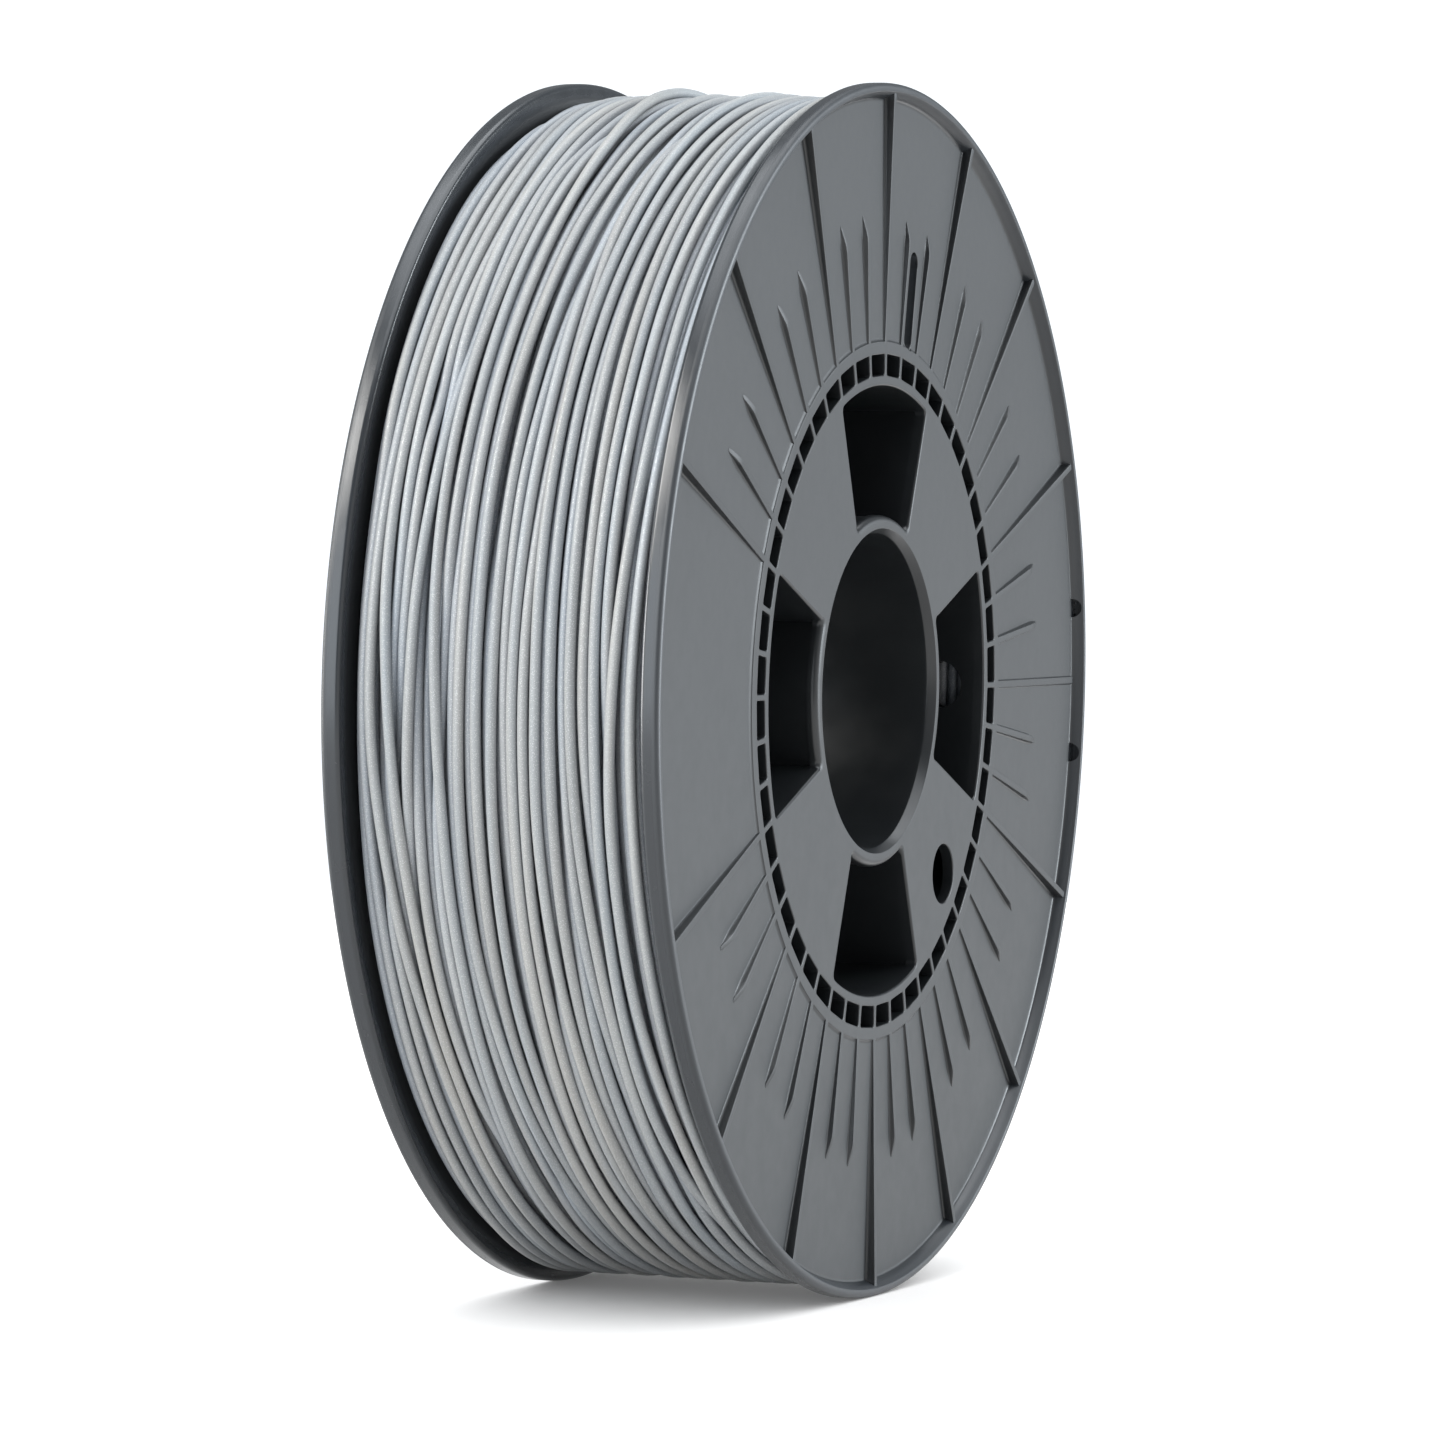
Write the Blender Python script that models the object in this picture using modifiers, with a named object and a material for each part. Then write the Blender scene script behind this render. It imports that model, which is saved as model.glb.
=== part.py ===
"""A filament spool that stands on its two rims, full of 1.75 mm filament.

The spool's axis is world X, at the height of the flange's radius, and the world origin is on the
ground halfway between the flanges. The spool is two equal mouldings, the second one turned half a
turn about the level line that crosses the axis. Each moulding is built in a frame of its own:
local Z is the spool's axis and points outwards, local Z = 0 is the joint between the mouldings,
and a clock angle runs from local +Y (top) to local +X.
"""

from itertools import pairwise
from math import asin, cos, pi, radians, sin, sqrt, tau

import bmesh
import bpy
import numpy as np
from mathutils import Matrix, Vector

# Flange: a thin disc with a lip round its outer face and a raised hub in the middle
FLANGE_DIAMETER = 0.200
WIDTH_OVER_RIMS = 0.057
RIM_THICKNESS = 0.0033
RIM_EDGE = 0.0006
LIP_WIDTH = 0.0025
LIP_DRAFT = 0.0009
DISC_THICKNESS = 0.00125
HUB_RAISE = 0.0007
HUB_STEP = 0.0005
HUB_MARGIN = 0.001

# Bore: a tube through the spool, with a chamfer where it ends in each flange
BORE_RADIUS = 0.026
BORE_WALL = 0.00275
BORE_CHAMFER_WIDTH = 0.0008
BORE_CHAMFER_DEPTH = 0.0015

# Drum: two walls with pockets between them, which open through slots in the flange
DRUM_RADIUS = 0.057
DRUM_OUTER_WALL = 0.00145
POCKET_DEPTH = 0.0035
DRUM_INNER_WALL = 0.00175
POCKETS = 48
POCKET_BAR = 0.001
START_HOLE_DIAMETER = 0.008
START_HOLE_FROM_FLANGE = 0.0063
START_HOLE_ANGLE = radians(90)

# Windows between the bore's tube and the drum, with a wall behind each of their sides
WINDOWS = 4
WINDOW_HALF_ANGLE_INNER = radians(23.9)
WINDOW_HALF_ANGLE_OUTER = radians(22.9)
WINDOW_INNER_MARGIN = 0.00025
WINDOW_CORNER = 0.001
HUB_WALL = 0.0014

# Holes in the flange
DRIVE_HOLE_DIAMETER = 0.010
DRIVE_HOLE_FROM_DRUM = 0.0008
DRIVE_HOLE_ANGLE = radians(135)
THREADING_SLOT_WIDTH = 0.0034
THREADING_SLOT_LENGTH = 0.0165
THREADING_SLOT_FROM_DRUM = 0.0005
THREADING_SLOT_ANGLE = radians(11)
RIM_HOLE_DIAMETER = 0.0033
RIM_HOLE_END_WALL = 0.0005
RIM_HOLE_ANGLES = (radians(82.5), radians(97.5))

# Ribs on the flange's outer face: long ones out to the lip, and short ones between them
RIB_PITCH = radians(7.5)
RIBS_PER_LONG_RIB = 3
RIB_WIDTH = 0.0013
RIB_BELOW_LIP = 0.00005
SHORT_RIB_LENGTH = 0.0205
SHORT_RIB_RAMP = 0.0025
BLANK_PANEL_ANGLE = radians(270)
BLANK_PANEL_HALF_ANGLE = radians(22.5)

# Filament
STRAND_DIAMETER = 0.00175
WINDING_BELOW_RIM = 0.0016
LEAST_TURN_GAP = 0.00042
MOST_TURNS = 24
POINTS_A_TURN = 24

# Pieces that touch on the real spool keep this gap here
CLEARANCE = 0.0003

# How finely round shapes are drawn
FLANGE_SIDES = 72
TUBE_STEP = radians(7.5)
HOLE_SIDES = 20
SMALL_HOLE_SIDES = 16
SMOOTH_ANGLE = radians(35)
EMBEDDED = 0.0006
BEYOND = 0.002
MERGE_DISTANCE = 0.000001

# Colours (linear), roughness and metallic value
SPOOL_PLASTIC = ((0.165, 0.176, 0.184), 0.42, 0.0)
FILAMENT_CORE = ((0.30, 0.315, 0.325), 0.50, 0.1)
FILAMENT = ((0.42, 0.44, 0.455), 0.34, 0.25)

# Worked out from the dimensions above; heights are along local Z
FLANGE_RADIUS = FLANGE_DIAMETER / 2
LIP_TOP = WIDTH_OVER_RIMS / 2
FLANGE_INNER_FACE = LIP_TOP - RIM_THICKNESS
DISC_FACE = FLANGE_INNER_FACE + DISC_THICKNESS
HUB_FACE = DISC_FACE + HUB_RAISE
LIP_FOOT_RADIUS = FLANGE_RADIUS - LIP_WIDTH
LIP_TOP_RADIUS = LIP_FOOT_RADIUS + LIP_DRAFT
TUBE_RADIUS = BORE_RADIUS + BORE_WALL
POCKET_OUTER_RADIUS = DRUM_RADIUS - DRUM_OUTER_WALL
POCKET_INNER_RADIUS = POCKET_OUTER_RADIUS - POCKET_DEPTH
DRUM_INNER_RADIUS = POCKET_INNER_RADIUS - DRUM_INNER_WALL
DRIVE_HOLE_FROM_AXIS = DRUM_INNER_RADIUS - DRIVE_HOLE_FROM_DRUM - DRIVE_HOLE_DIAMETER / 2
WINDOW_INNER_RADIUS = TUBE_RADIUS + WINDOW_INNER_MARGIN
HUB_RADIUS = DRUM_RADIUS + HUB_MARGIN
HALF_START = CLEARANCE / 2
HALF_END = FLANGE_INNER_FACE - CLEARANCE
STRAND_RADIUS = STRAND_DIAMETER / 2
WINDING_PATH_RADIUS = FLANGE_RADIUS - WINDING_BELOW_RIM - STRAND_RADIUS


def collection(name):
    """A new collection in the scene."""
    made = bpy.data.collections.new(name)
    bpy.context.scene.collection.children.link(made)
    return made


def polar(radius, angle):
    """The point at this radius and clock angle, as (x, y)."""
    return Vector((radius * sin(angle), radius * cos(angle)))


def arc(radius, start, end, step=TUBE_STEP):
    """Points along a circle about the axis, from one clock angle to another, ends included."""
    count = max(1, round(abs(end - start) / step))
    return [polar(radius, start + (end - start) * i / count) for i in range(count + 1)]


def circle(centre, radius, sides):
    """A closed round outline, with its first point above the centre."""
    return [centre + polar(radius, tau * i / sides) for i in range(sides)]


def turned(points, angle):
    """The points turned clockwise about the axis."""
    return [Matrix.Rotation(-angle, 2) @ point for point in points]


def mirrored(points):
    """The points mirrored left to right, in the order that keeps the outline running on."""
    return [Vector((-point.x, point.y)) for point in reversed(points)]


def line_at_radius(point, direction, radius):
    """Where the line through a point, followed outwards, is this far from the axis."""
    along = point.dot(direction)
    return point + direction * (sqrt(along**2 - point.length_squared + radius**2) - along)


def window_side():
    """The inner end of a window's side and its direction, for the window at the top."""
    inner = polar(WINDOW_INNER_RADIUS, WINDOW_HALF_ANGLE_INNER)
    outer = polar(DRUM_INNER_RADIUS, WINDOW_HALF_ANGLE_OUTER)
    return inner, (outer - inner).normalized()


def window_outline():
    """The window at the top, with its corners cut."""
    inner, direction = window_side()
    outer = polar(DRUM_INNER_RADIUS, WINDOW_HALF_ANGLE_OUTER)
    outer_half = WINDOW_HALF_ANGLE_OUTER - WINDOW_CORNER / DRUM_INNER_RADIUS
    inner_half = WINDOW_HALF_ANGLE_INNER - WINDOW_CORNER / WINDOW_INNER_RADIUS
    side = [outer - direction * WINDOW_CORNER, inner + direction * WINDOW_CORNER]
    points = arc(DRUM_INNER_RADIUS, -outer_half, outer_half) + side
    return points + arc(WINDOW_INNER_RADIUS, inner_half, -inner_half) + mirrored(side)


def pocket_outline():
    """The pocket just after the top, between two bars with parallel sides."""
    half_pitch = pi / POCKETS
    corners = []
    for radius in (POCKET_OUTER_RADIUS, POCKET_INNER_RADIUS):
        half = half_pitch - asin(POCKET_BAR / 2 / radius)
        corners += [polar(radius, half_pitch - half), polar(radius, half_pitch + half)]
    return [corners[0], corners[1], corners[3], corners[2]]


def pocket_outlines():
    """All the pockets round the drum."""
    return [turned(pocket_outline(), tau * i / POCKETS) for i in range(POCKETS)]


def threading_slot_outline():
    """The round-ended slot beside the drum that the filament's start is threaded through."""
    radius = THREADING_SLOT_WIDTH / 2
    low = DRUM_RADIUS + THREADING_SLOT_FROM_DRUM + radius
    high = low + THREADING_SLOT_LENGTH - THREADING_SLOT_WIDTH
    steps = SMALL_HOLE_SIDES // 2
    ends = []
    for centre, start in ((high, -pi / 2), (low, pi / 2)):
        angles = [start + pi * i / steps for i in range(steps + 1)]
        ends += [Vector((0, centre)) + polar(radius, angle) for angle in angles]
    return turned(ends, THREADING_SLOT_ANGLE)


def hub_outline():
    """The bore's tube with a wall along both sides of each window."""
    corner, direction = window_side()
    across = Vector((direction.y, -direction.x)) * HUB_WALL
    wall_end = DRUM_INNER_RADIUS - CLEARANCE
    near_foot = line_at_radius(corner, direction, TUBE_RADIUS)
    far_foot = line_at_radius(corner + across, direction, TUBE_RADIUS)
    wall = [
        near_foot,
        line_at_radius(corner, direction, wall_end),
        line_at_radius(corner + across, direction, wall_end),
        far_foot,
    ]
    window_half = asin(near_foot.x / TUBE_RADIUS)
    web_start = asin(far_foot.x / TUBE_RADIUS)
    window = arc(TUBE_RADIUS, -window_half, window_half)[1:-1]
    web = arc(TUBE_RADIUS, web_start, tau / WINDOWS - web_start)[1:-1]
    section = window + wall + web + turned(mirrored(wall), tau / WINDOWS)
    outline = []
    for i in range(WINDOWS):
        outline += turned(section, tau * i / WINDOWS)
    return outline


def plate(name, outlines, low, high):
    """The mesh of flat outlines, filled and given thickness from low to high along Z.

    An outline inside another is a hole.
    """
    curve = bpy.data.curves.new(name, "CURVE")
    curve.dimensions = "2D"
    curve.fill_mode = "BOTH"
    curve.extrude = (high - low) / 2
    for outline in outlines:
        spline = curve.splines.new("POLY")
        spline.points.add(len(outline) - 1)
        spline.use_cyclic_u = True
        for target, point in zip(spline.points, outline):
            target.co = (point.x, point.y, 0, 1)
    return mesh_of(curve, Matrix.Translation((0, 0, (low + high) / 2)))


def mesh_of(curve, matrix=Matrix.Identity(4)):
    """The curve's solid as a mesh with its caps welded on, and the curve removed."""
    holder = bpy.data.objects.new(curve.name, curve)
    bpy.context.scene.collection.objects.link(holder)
    evaluated = holder.evaluated_get(bpy.context.evaluated_depsgraph_get())
    mesh = bpy.data.meshes.new_from_object(evaluated)
    bpy.data.objects.remove(holder)
    bpy.data.curves.remove(curve)
    solid = bmesh.new()
    solid.from_mesh(mesh)
    bmesh.ops.remove_doubles(solid, verts=solid.verts, dist=MERGE_DISTANCE)
    bmesh.ops.recalc_face_normals(solid, faces=solid.faces)
    bmesh.ops.transform(solid, matrix=matrix, verts=solid.verts)
    solid.to_mesh(mesh)
    solid.free()
    return mesh


def copies(name, mesh, matrices):
    """One mesh that holds a copy of another for each matrix. The first one is removed."""
    joined = bmesh.new()
    for matrix in matrices:
        before = len(joined.verts)
        joined.from_mesh(mesh)
        joined.verts.ensure_lookup_table()
        bmesh.ops.transform(joined, matrix=matrix, verts=joined.verts[before:])
    made = bpy.data.meshes.new(name)
    joined.to_mesh(made)
    joined.free()
    bpy.data.meshes.remove(mesh)
    return made


def material(name, look):
    """A Principled material with this colour, roughness and metallic value."""
    colour, roughness, metallic = look
    made = bpy.data.materials.new(name)
    made.use_nodes = True
    shader = made.node_tree.nodes["Principled BSDF"]
    shader.inputs["Base Color"].default_value = (*colour, 1)
    shader.inputs["Roughness"].default_value = roughness
    shader.inputs["Metallic"].default_value = metallic
    made.diffuse_color = (*colour, 1)
    return made


def piece(name, mesh, frame, look):
    """A sub-part of the spool, in a moulding's frame and with its own material."""
    made = bpy.data.objects.new(name, mesh)
    spool.objects.link(made)
    made.parent = frame
    mesh.materials.append(material(name, look))
    mesh.shade_smooth()
    mesh.set_sharp_from_angle(angle=SMOOTH_ANGLE)
    return made


def helper(name, mesh, frame):
    """A hidden solid that a Boolean cuts away or joins on."""
    made = bpy.data.objects.new(name, mesh)
    helpers.objects.link(made)
    made.parent = frame
    made.hide_render = True
    made.display_type = "WIRE"
    return made


def boolean(target, other, operation):
    """Cuts another solid from the target, or joins it on."""
    modifier = target.modifiers.new(other.name, "BOOLEAN")
    modifier.operation = operation
    modifier.solver = "EXACT"
    modifier.object = other


def ring_profile(name, points, turn=0.0):
    """The mesh of a closed profile of (radius, height) points, turned a little from local +X."""
    mesh = bpy.data.meshes.new(name)
    edges = [(i, (i + 1) % len(points)) for i in range(len(points))]
    places = [(r * cos(turn), r * sin(turn), height) for r, height in points]
    mesh.from_pydata(places, edges, [])
    return mesh


def spin(target, sides):
    """Turns an object's profile into a ring about local Z."""
    screw = target.modifiers.new("ring", "SCREW")
    screw.steps = sides
    screw.render_steps = sides
    screw.use_merge_vertices = True
    screw.merge_threshold = MERGE_DISTANCE


def flange_profile():
    """The flange's section, down its rim, in along its inner face and out along its outer one."""
    rim = FLANGE_RADIUS / cos(pi / FLANGE_SIDES)
    return [
        (rim - RIM_EDGE, LIP_TOP),
        (rim, LIP_TOP - RIM_EDGE),
        (rim, FLANGE_INNER_FACE + RIM_EDGE),
        (rim - RIM_EDGE, FLANGE_INNER_FACE),
        (BORE_RADIUS, FLANGE_INNER_FACE),
        (BORE_RADIUS, HUB_FACE - BORE_CHAMFER_DEPTH),
        (BORE_RADIUS + BORE_CHAMFER_WIDTH, HUB_FACE),
        (HUB_RADIUS - HUB_STEP, HUB_FACE),
        (HUB_RADIUS, DISC_FACE),
        (LIP_FOOT_RADIUS, DISC_FACE),
        (LIP_TOP_RADIUS, LIP_TOP),
    ]


def rib_height(radius):
    """The height of a rib's top, which rises from the hub's face to the lip's top."""
    share = (radius - HUB_RADIUS) / (LIP_TOP_RADIUS - HUB_RADIUS)
    return HUB_FACE + (LIP_TOP - RIB_BELOW_LIP - HUB_FACE) * share


def ribs(name, profile, angles):
    """Ribs with this side view, as (radius, height) points, at these clock angles."""
    mesh = plate(name, [[Vector(point) for point in profile]], -RIB_WIDTH / 2, RIB_WIDTH / 2)
    upright = Matrix.Rotation(pi / 2, 4, "X")
    return copies(name, mesh, [Matrix.Rotation(pi / 2 - a, 4, "Z") @ upright for a in angles])


def rib_angles():
    """The clock angles of the long ribs and of the short ones."""
    long_ribs, short_ribs = [], []
    for i in range(round(tau / RIB_PITCH)):
        angle = i * RIB_PITCH
        from_panel = abs(angle - BLANK_PANEL_ANGLE)
        if from_panel < BLANK_PANEL_HALF_ANGLE - RIB_PITCH / 2:
            continue
        (short_ribs if i % RIBS_PER_LONG_RIB else long_ribs).append(angle)
    return long_ribs, short_ribs


def rib_kinds():
    """The name, side view and clock angles of the long ribs, and of the short ones."""
    foot = DISC_FACE - EMBEDDED
    start = HUB_RADIUS - HUB_STEP - EMBEDDED
    long_end = LIP_TOP_RADIUS + EMBEDDED / 2
    long_profile = [
        (start, foot),
        (long_end, foot),
        (long_end, rib_height(long_end)),
        (start, rib_height(start)),
    ]
    short_end = HUB_RADIUS + SHORT_RIB_LENGTH
    ramp_start = short_end - SHORT_RIB_RAMP
    short_profile = [
        (start, foot),
        (short_end, foot),
        (short_end, DISC_FACE + RIB_BELOW_LIP),
        (ramp_start, rib_height(ramp_start)),
        (start, rib_height(start)),
    ]
    long_angles, short_angles = rib_angles()
    return ("long_ribs", long_profile, long_angles), ("short_ribs", short_profile, short_angles)


def rim_holes(name):
    """Half-round blind holes in the lip, just above the disc."""
    radius = RIM_HOLE_DIAMETER / 2
    steps = SMALL_HOLE_SIDES // 2
    low = DISC_FACE + RIB_BELOW_LIP
    half_round = [polar(radius, -pi / 2 + pi * i / steps) for i in range(steps + 1)]
    outline = [point + Vector((0, low)) for point in half_round]
    mesh = plate(name, [outline], LIP_FOOT_RADIUS - BEYOND, FLANGE_RADIUS - RIM_HOLE_END_WALL)
    level = Matrix.Rotation(pi / 2, 4, "X")
    return copies(name, mesh, [Matrix.Rotation(pi - a, 4, "Z") @ level for a in RIM_HOLE_ANGLES])


def flange(side, frame):
    """The disc with its lip, hub, ribs and holes."""
    section = ring_profile(f"{side}_flange", flange_profile(), pi / FLANGE_SIDES)
    made = piece(f"{side}_flange", section, frame, SPOOL_PLASTIC)
    spin(made, FLANGE_SIDES)
    for kind, profile, angles in rib_kinds():
        name = f"{side}_{kind}"
        boolean(made, helper(name, ribs(name, profile, angles), frame), "UNION")
    holes = pocket_outlines()
    holes += [turned(window_outline(), tau * i / WINDOWS) for i in range(WINDOWS)]
    drive_hole = polar(DRIVE_HOLE_FROM_AXIS, DRIVE_HOLE_ANGLE)
    holes.append(circle(drive_hole, DRIVE_HOLE_DIAMETER / 2, HOLE_SIDES))
    holes.append(threading_slot_outline())
    name = f"{side}_flange_holes"
    cutter = plate(name, holes, FLANGE_INNER_FACE - BEYOND, LIP_TOP + BEYOND)
    boolean(made, helper(name, cutter, frame), "DIFFERENCE")
    name = f"{side}_rim_holes"
    boolean(made, helper(name, rim_holes(name), frame), "DIFFERENCE")


def drum(side, frame):
    """Half of the drum, with the hole that the filament starts from."""
    outlines = [
        circle(Vector((0, 0)), DRUM_RADIUS, POCKETS),
        circle(Vector((0, 0)), DRUM_INNER_RADIUS, POCKETS),
        *pocket_outlines(),
    ]
    mesh = plate(f"{side}_drum_half", outlines, HALF_START, HALF_END)
    made = piece(f"{side}_drum_half", mesh, frame, SPOOL_PLASTIC)
    wall = DRUM_RADIUS - DRUM_INNER_RADIUS
    name = f"{side}_start_hole"
    cutter = bmesh.new()
    bmesh.ops.create_cone(
        cutter,
        cap_ends=True,
        segments=SMALL_HOLE_SIDES,
        radius1=START_HOLE_DIAMETER / 2,
        radius2=START_HOLE_DIAMETER / 2,
        depth=wall + 2 * BEYOND,
    )
    hole = bpy.data.meshes.new(name)
    cutter.to_mesh(hole)
    cutter.free()
    hidden = helper(name, hole, frame)
    across = polar(DRUM_RADIUS - wall / 2, START_HOLE_ANGLE)
    hidden.location = (across.x, across.y, FLANGE_INNER_FACE - START_HOLE_FROM_FLANGE)
    hidden.rotation_euler = (pi / 2, 0, -START_HOLE_ANGLE)
    boolean(made, hidden, "DIFFERENCE")


def hub(side, frame):
    """Half of the bore's tube, with the walls that run out from it to the drum."""
    bore = circle(Vector((0, 0)), BORE_RADIUS, round(tau / TUBE_STEP))
    mesh = plate(f"{side}_hub_half", [hub_outline(), bore], HALF_START, HALF_END)
    piece(f"{side}_hub_half", mesh, frame, SPOOL_PLASTIC)


def inner_layers(frame):
    """The filament under the outer layer, as a plain ring on the drum."""
    inner = (DRUM_RADIUS + CLEARANCE) / cos(pi / POINTS_A_TURN)
    outer = WINDING_PATH_RADIUS - STRAND_RADIUS - CLEARANCE
    points = [(outer, HALF_END), (outer, -HALF_END), (inner, -HALF_END), (inner, HALF_END)]
    mesh = ring_profile("filament_inner_layers", points)
    spin(piece("filament_inner_layers", mesh, frame, FILAMENT_CORE), POINTS_A_TURN)


def winding_points():
    """The middle of the outer layer's strand, from one flange to the other."""
    reach = HALF_END - STRAND_RADIUS
    turns = min(MOST_TURNS, int(2 * reach / (STRAND_DIAMETER + LEAST_TURN_GAP)))
    count = turns * POINTS_A_TURN
    for i in range(count + 1):
        angle = tau * i / POINTS_A_TURN
        height = -reach + 2 * reach * i / count
        yield (WINDING_PATH_RADIUS * cos(angle), WINDING_PATH_RADIUS * sin(angle), height)


def least_gap(points):
    """The least gap between the strand's turns, measured from each point to the next turn's chords."""
    places = np.array(points)
    starts, chords = places[:-1], np.diff(places, axis=0)
    least = np.inf
    for i, place in enumerate(places):
        later = slice(i + POINTS_A_TURN // 2, None)
        if not len(starts[later]):
            break
        lengths = (chords[later] ** 2).sum(axis=1)
        share = ((place - starts[later]) * chords[later]).sum(axis=1) / lengths
        nearest = starts[later] + chords[later] * np.clip(share, 0, 1)[:, None]
        least = min(least, np.linalg.norm(nearest - place, axis=1).min())
    return least - STRAND_DIAMETER


def outer_layer(frame):
    """The winding's outer layer, one strand with its turns side by side."""
    points = list(winding_points())
    curve = bpy.data.curves.new("filament_outer_layer", "CURVE")
    curve.dimensions = "3D"
    curve.bevel_depth = STRAND_RADIUS
    curve.bevel_resolution = 1
    curve.use_fill_caps = True
    spline = curve.splines.new("POLY")
    spline.points.add(len(points) - 1)
    for target, point in zip(spline.points, points):
        target.co = (*point, 1)
    piece("filament_outer_layer", mesh_of(curve), frame, FILAMENT)
    longest = max((Vector(b) - Vector(a)).length for a, b in pairwise(points))
    print(f"outer layer: {len(points)} points, chords up to {longest * 1000:.1f} mm")
    print(f"outer layer: least gap between its turns {least_gap(points) * 1000:.3f} mm")


def frame_empty(name, turn):
    """An empty at the spool's centre, whose Z is the axis, turned about the level cross line."""
    upright = Matrix(((0, 0, 1), (1, 0, 0), (0, 1, 0))).to_4x4()
    made = bpy.data.objects.new(name, None)
    spool.objects.link(made)
    made.matrix_world = (
        Matrix.Translation((0, 0, FLANGE_RADIUS)) @ Matrix.Rotation(turn, 4, "Y") @ upright
    )
    return made


for old in list(bpy.data.objects):
    bpy.data.objects.remove(old)
spool = collection("filament_spool")
helpers = collection("helpers")

near_frame = frame_empty("near_moulding", 0)
far_frame = frame_empty("far_moulding", pi)
bpy.context.view_layer.update()
for side_name, side_frame in (("near", near_frame), ("far", far_frame)):
    flange(side_name, side_frame)
    drum(side_name, side_frame)
    hub(side_name, side_frame)
inner_layers(near_frame)
outer_layer(near_frame)
bpy.context.view_layer.update()
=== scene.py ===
from math import asin, cos, pi, radians, sin, sqrt, tau

import bmesh
import bpy
import numpy as np
from mathutils import Matrix, Vector


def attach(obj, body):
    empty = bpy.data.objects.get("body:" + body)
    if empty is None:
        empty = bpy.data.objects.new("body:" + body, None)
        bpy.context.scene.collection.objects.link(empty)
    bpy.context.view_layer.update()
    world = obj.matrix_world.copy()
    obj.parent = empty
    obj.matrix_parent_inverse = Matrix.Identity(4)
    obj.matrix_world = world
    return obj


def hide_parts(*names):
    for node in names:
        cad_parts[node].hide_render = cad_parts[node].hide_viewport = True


# Lengths are in metres, except in the winding, whose places and heights are in millimetres.
MM = 0.001

# The spool's sizes, which agree with the CAD's. Z is the spool's axis in a moulding's frame, 0 at the
# joint between the mouldings, and a clock angle runs from local +Y to local +X.
FLANGE_RADIUS = 0.100
LIP_TOP = 0.0285
FLANGE_INNER_FACE = 0.0252
DISC_FACE = 0.02645
HUB_FACE = 0.02715
LIP_FOOT_RADIUS = 0.0975
LIP_TOP_RADIUS = 0.0984
HUB_RADIUS = 0.058
BORE_RADIUS = 0.026
BORE_CHAMFER_WIDTH = 0.0008
BORE_CHAMFER_DEPTH = 0.0015
TUBE_RADIUS = 0.02875
DRUM_RADIUS = 0.057
POCKET_OUTER_RADIUS = 0.05555
POCKET_INNER_RADIUS = 0.05205
DRUM_INNER_RADIUS = 0.0503
WINDOW_INNER_RADIUS = 0.029
WINDOW_HALF_ANGLE_INNER = radians(23.9)
WINDOW_HALF_ANGLE_OUTER = radians(22.9)
HUB_WALL = 0.0014
POCKETS = 48
POCKET_BAR = 0.001
WINDOWS = 4
DRIVE_HOLE_RADIUS = 0.005
DRIVE_HOLE_FROM_AXIS = 0.0445
DRIVE_HOLE_ANGLE = radians(135)
START_HOLE_RADIUS = 0.004
START_HOLE_HEIGHT = 0.0189
START_HOLE_ANGLE = radians(90)
SLOT_WIDTH = 0.0034
SLOT_LOW = 0.0575
SLOT_LENGTH = 0.0165
SLOT_ANGLE = radians(11)
RIM_HOLE_RADIUS = 0.00165
RIM_HOLE_END_WALL = 0.0005
RIM_HOLE_ANGLES = (radians(82.5), radians(97.5))
RIB_PITCH = radians(7.5)
RIBS_ROUND = 48
RIBS_PER_LONG_RIB = 3
SHORT_RIB_END = 0.0785
BLANK_PANEL_ANGLE = radians(270)
BLANK_PANEL_REACH = radians(20)

# Levels that differ a little from the CAD's, from a close comparison with the photo
DISC_RISE = 0.00028
RIB_BELOW_LIP = 0.0004
SHORT_RIB_RAMP = 0.0034
LOW_RIB = 12
LOW_RIB_HEIGHT = 0.0003

# Half of the fine line between the mouldings
JOINT_GAP = 0.00003

# Rounded corners and edges, which the CAD has sharp or plainer
WINDOW_CORNER = 0.0011
POCKET_CORNER = 0.00045
RIM_EDGE = 0.0009
LIP_EDGE = 0.0003
LIP_EDGE_INSET = 1.2
LIP_EDGE_END = 155
SLOT_EDGE = 0.0002
DRIVE_HOLE_EDGE = 0.00025
TUBE_EDGE = 0.0012
WINDOW_EDGE = 0.0004
TUBE_EDGE_MARGIN = 0.0001
TUBE_EDGE_FADE = 0.0012
EDGE_ANGLES = (0, radians(28), radians(55), radians(78))
MOUTH_SPREAD = 1.05
MOUTH_RISE = 0.00002

# Curved steps in a flange's section, as points outwards and up from a corner
LIP_FOOT_CURVE = ((0.00018, 0.0004), (0.00002, 0.00014), (-0.0002, 0.00002), (-0.0006, 0))
HUB_FOOT_CURVE = ((0.0002, 0), (-0.00005, 0.0001))
HUB_TOP_CURVE = ((-0.00032, -0.0002), (-0.00045, -0.00005), (-0.00065, 0))
CHAMFER_TOP_CURVE = ((0.00018, 0), (0.00004, -0.00004), (-0.00008, -0.00018))
CHAMFER_FOOT_CURVE = ((0.00008, 0.00018), (0.00001, 0.00003), (0, -0.0001))

# A rib's section: a curved foot, and an edge along its top. The curves are in shares of their sizes,
# the foot's outwards and up, the edge's inwards and down.
RIB_HALF_WIDTH = 0.00062
RIB_FOOT = 0.00042
RIB_FOOT_MOST = 0.7
RIB_FOOT_REACH = 1.15
RIB_FOOT_SUNK = 0.00006
RIB_FOOT_CURVE = ((0.55, 0.12), (0.2, 0.42), (0, 1))
RIB_EDGE = 0.00016
RIB_EDGE_MOST = 0.35
RIB_EDGE_CURVE = ((0.25, 1), (0.6, 0.35), (1.5, 0))
RIB_ROOT = 0.0005
RIB_START = 0.0011
RIB_END = 0.00035
RIB_MIDDLE = 0.02

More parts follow.
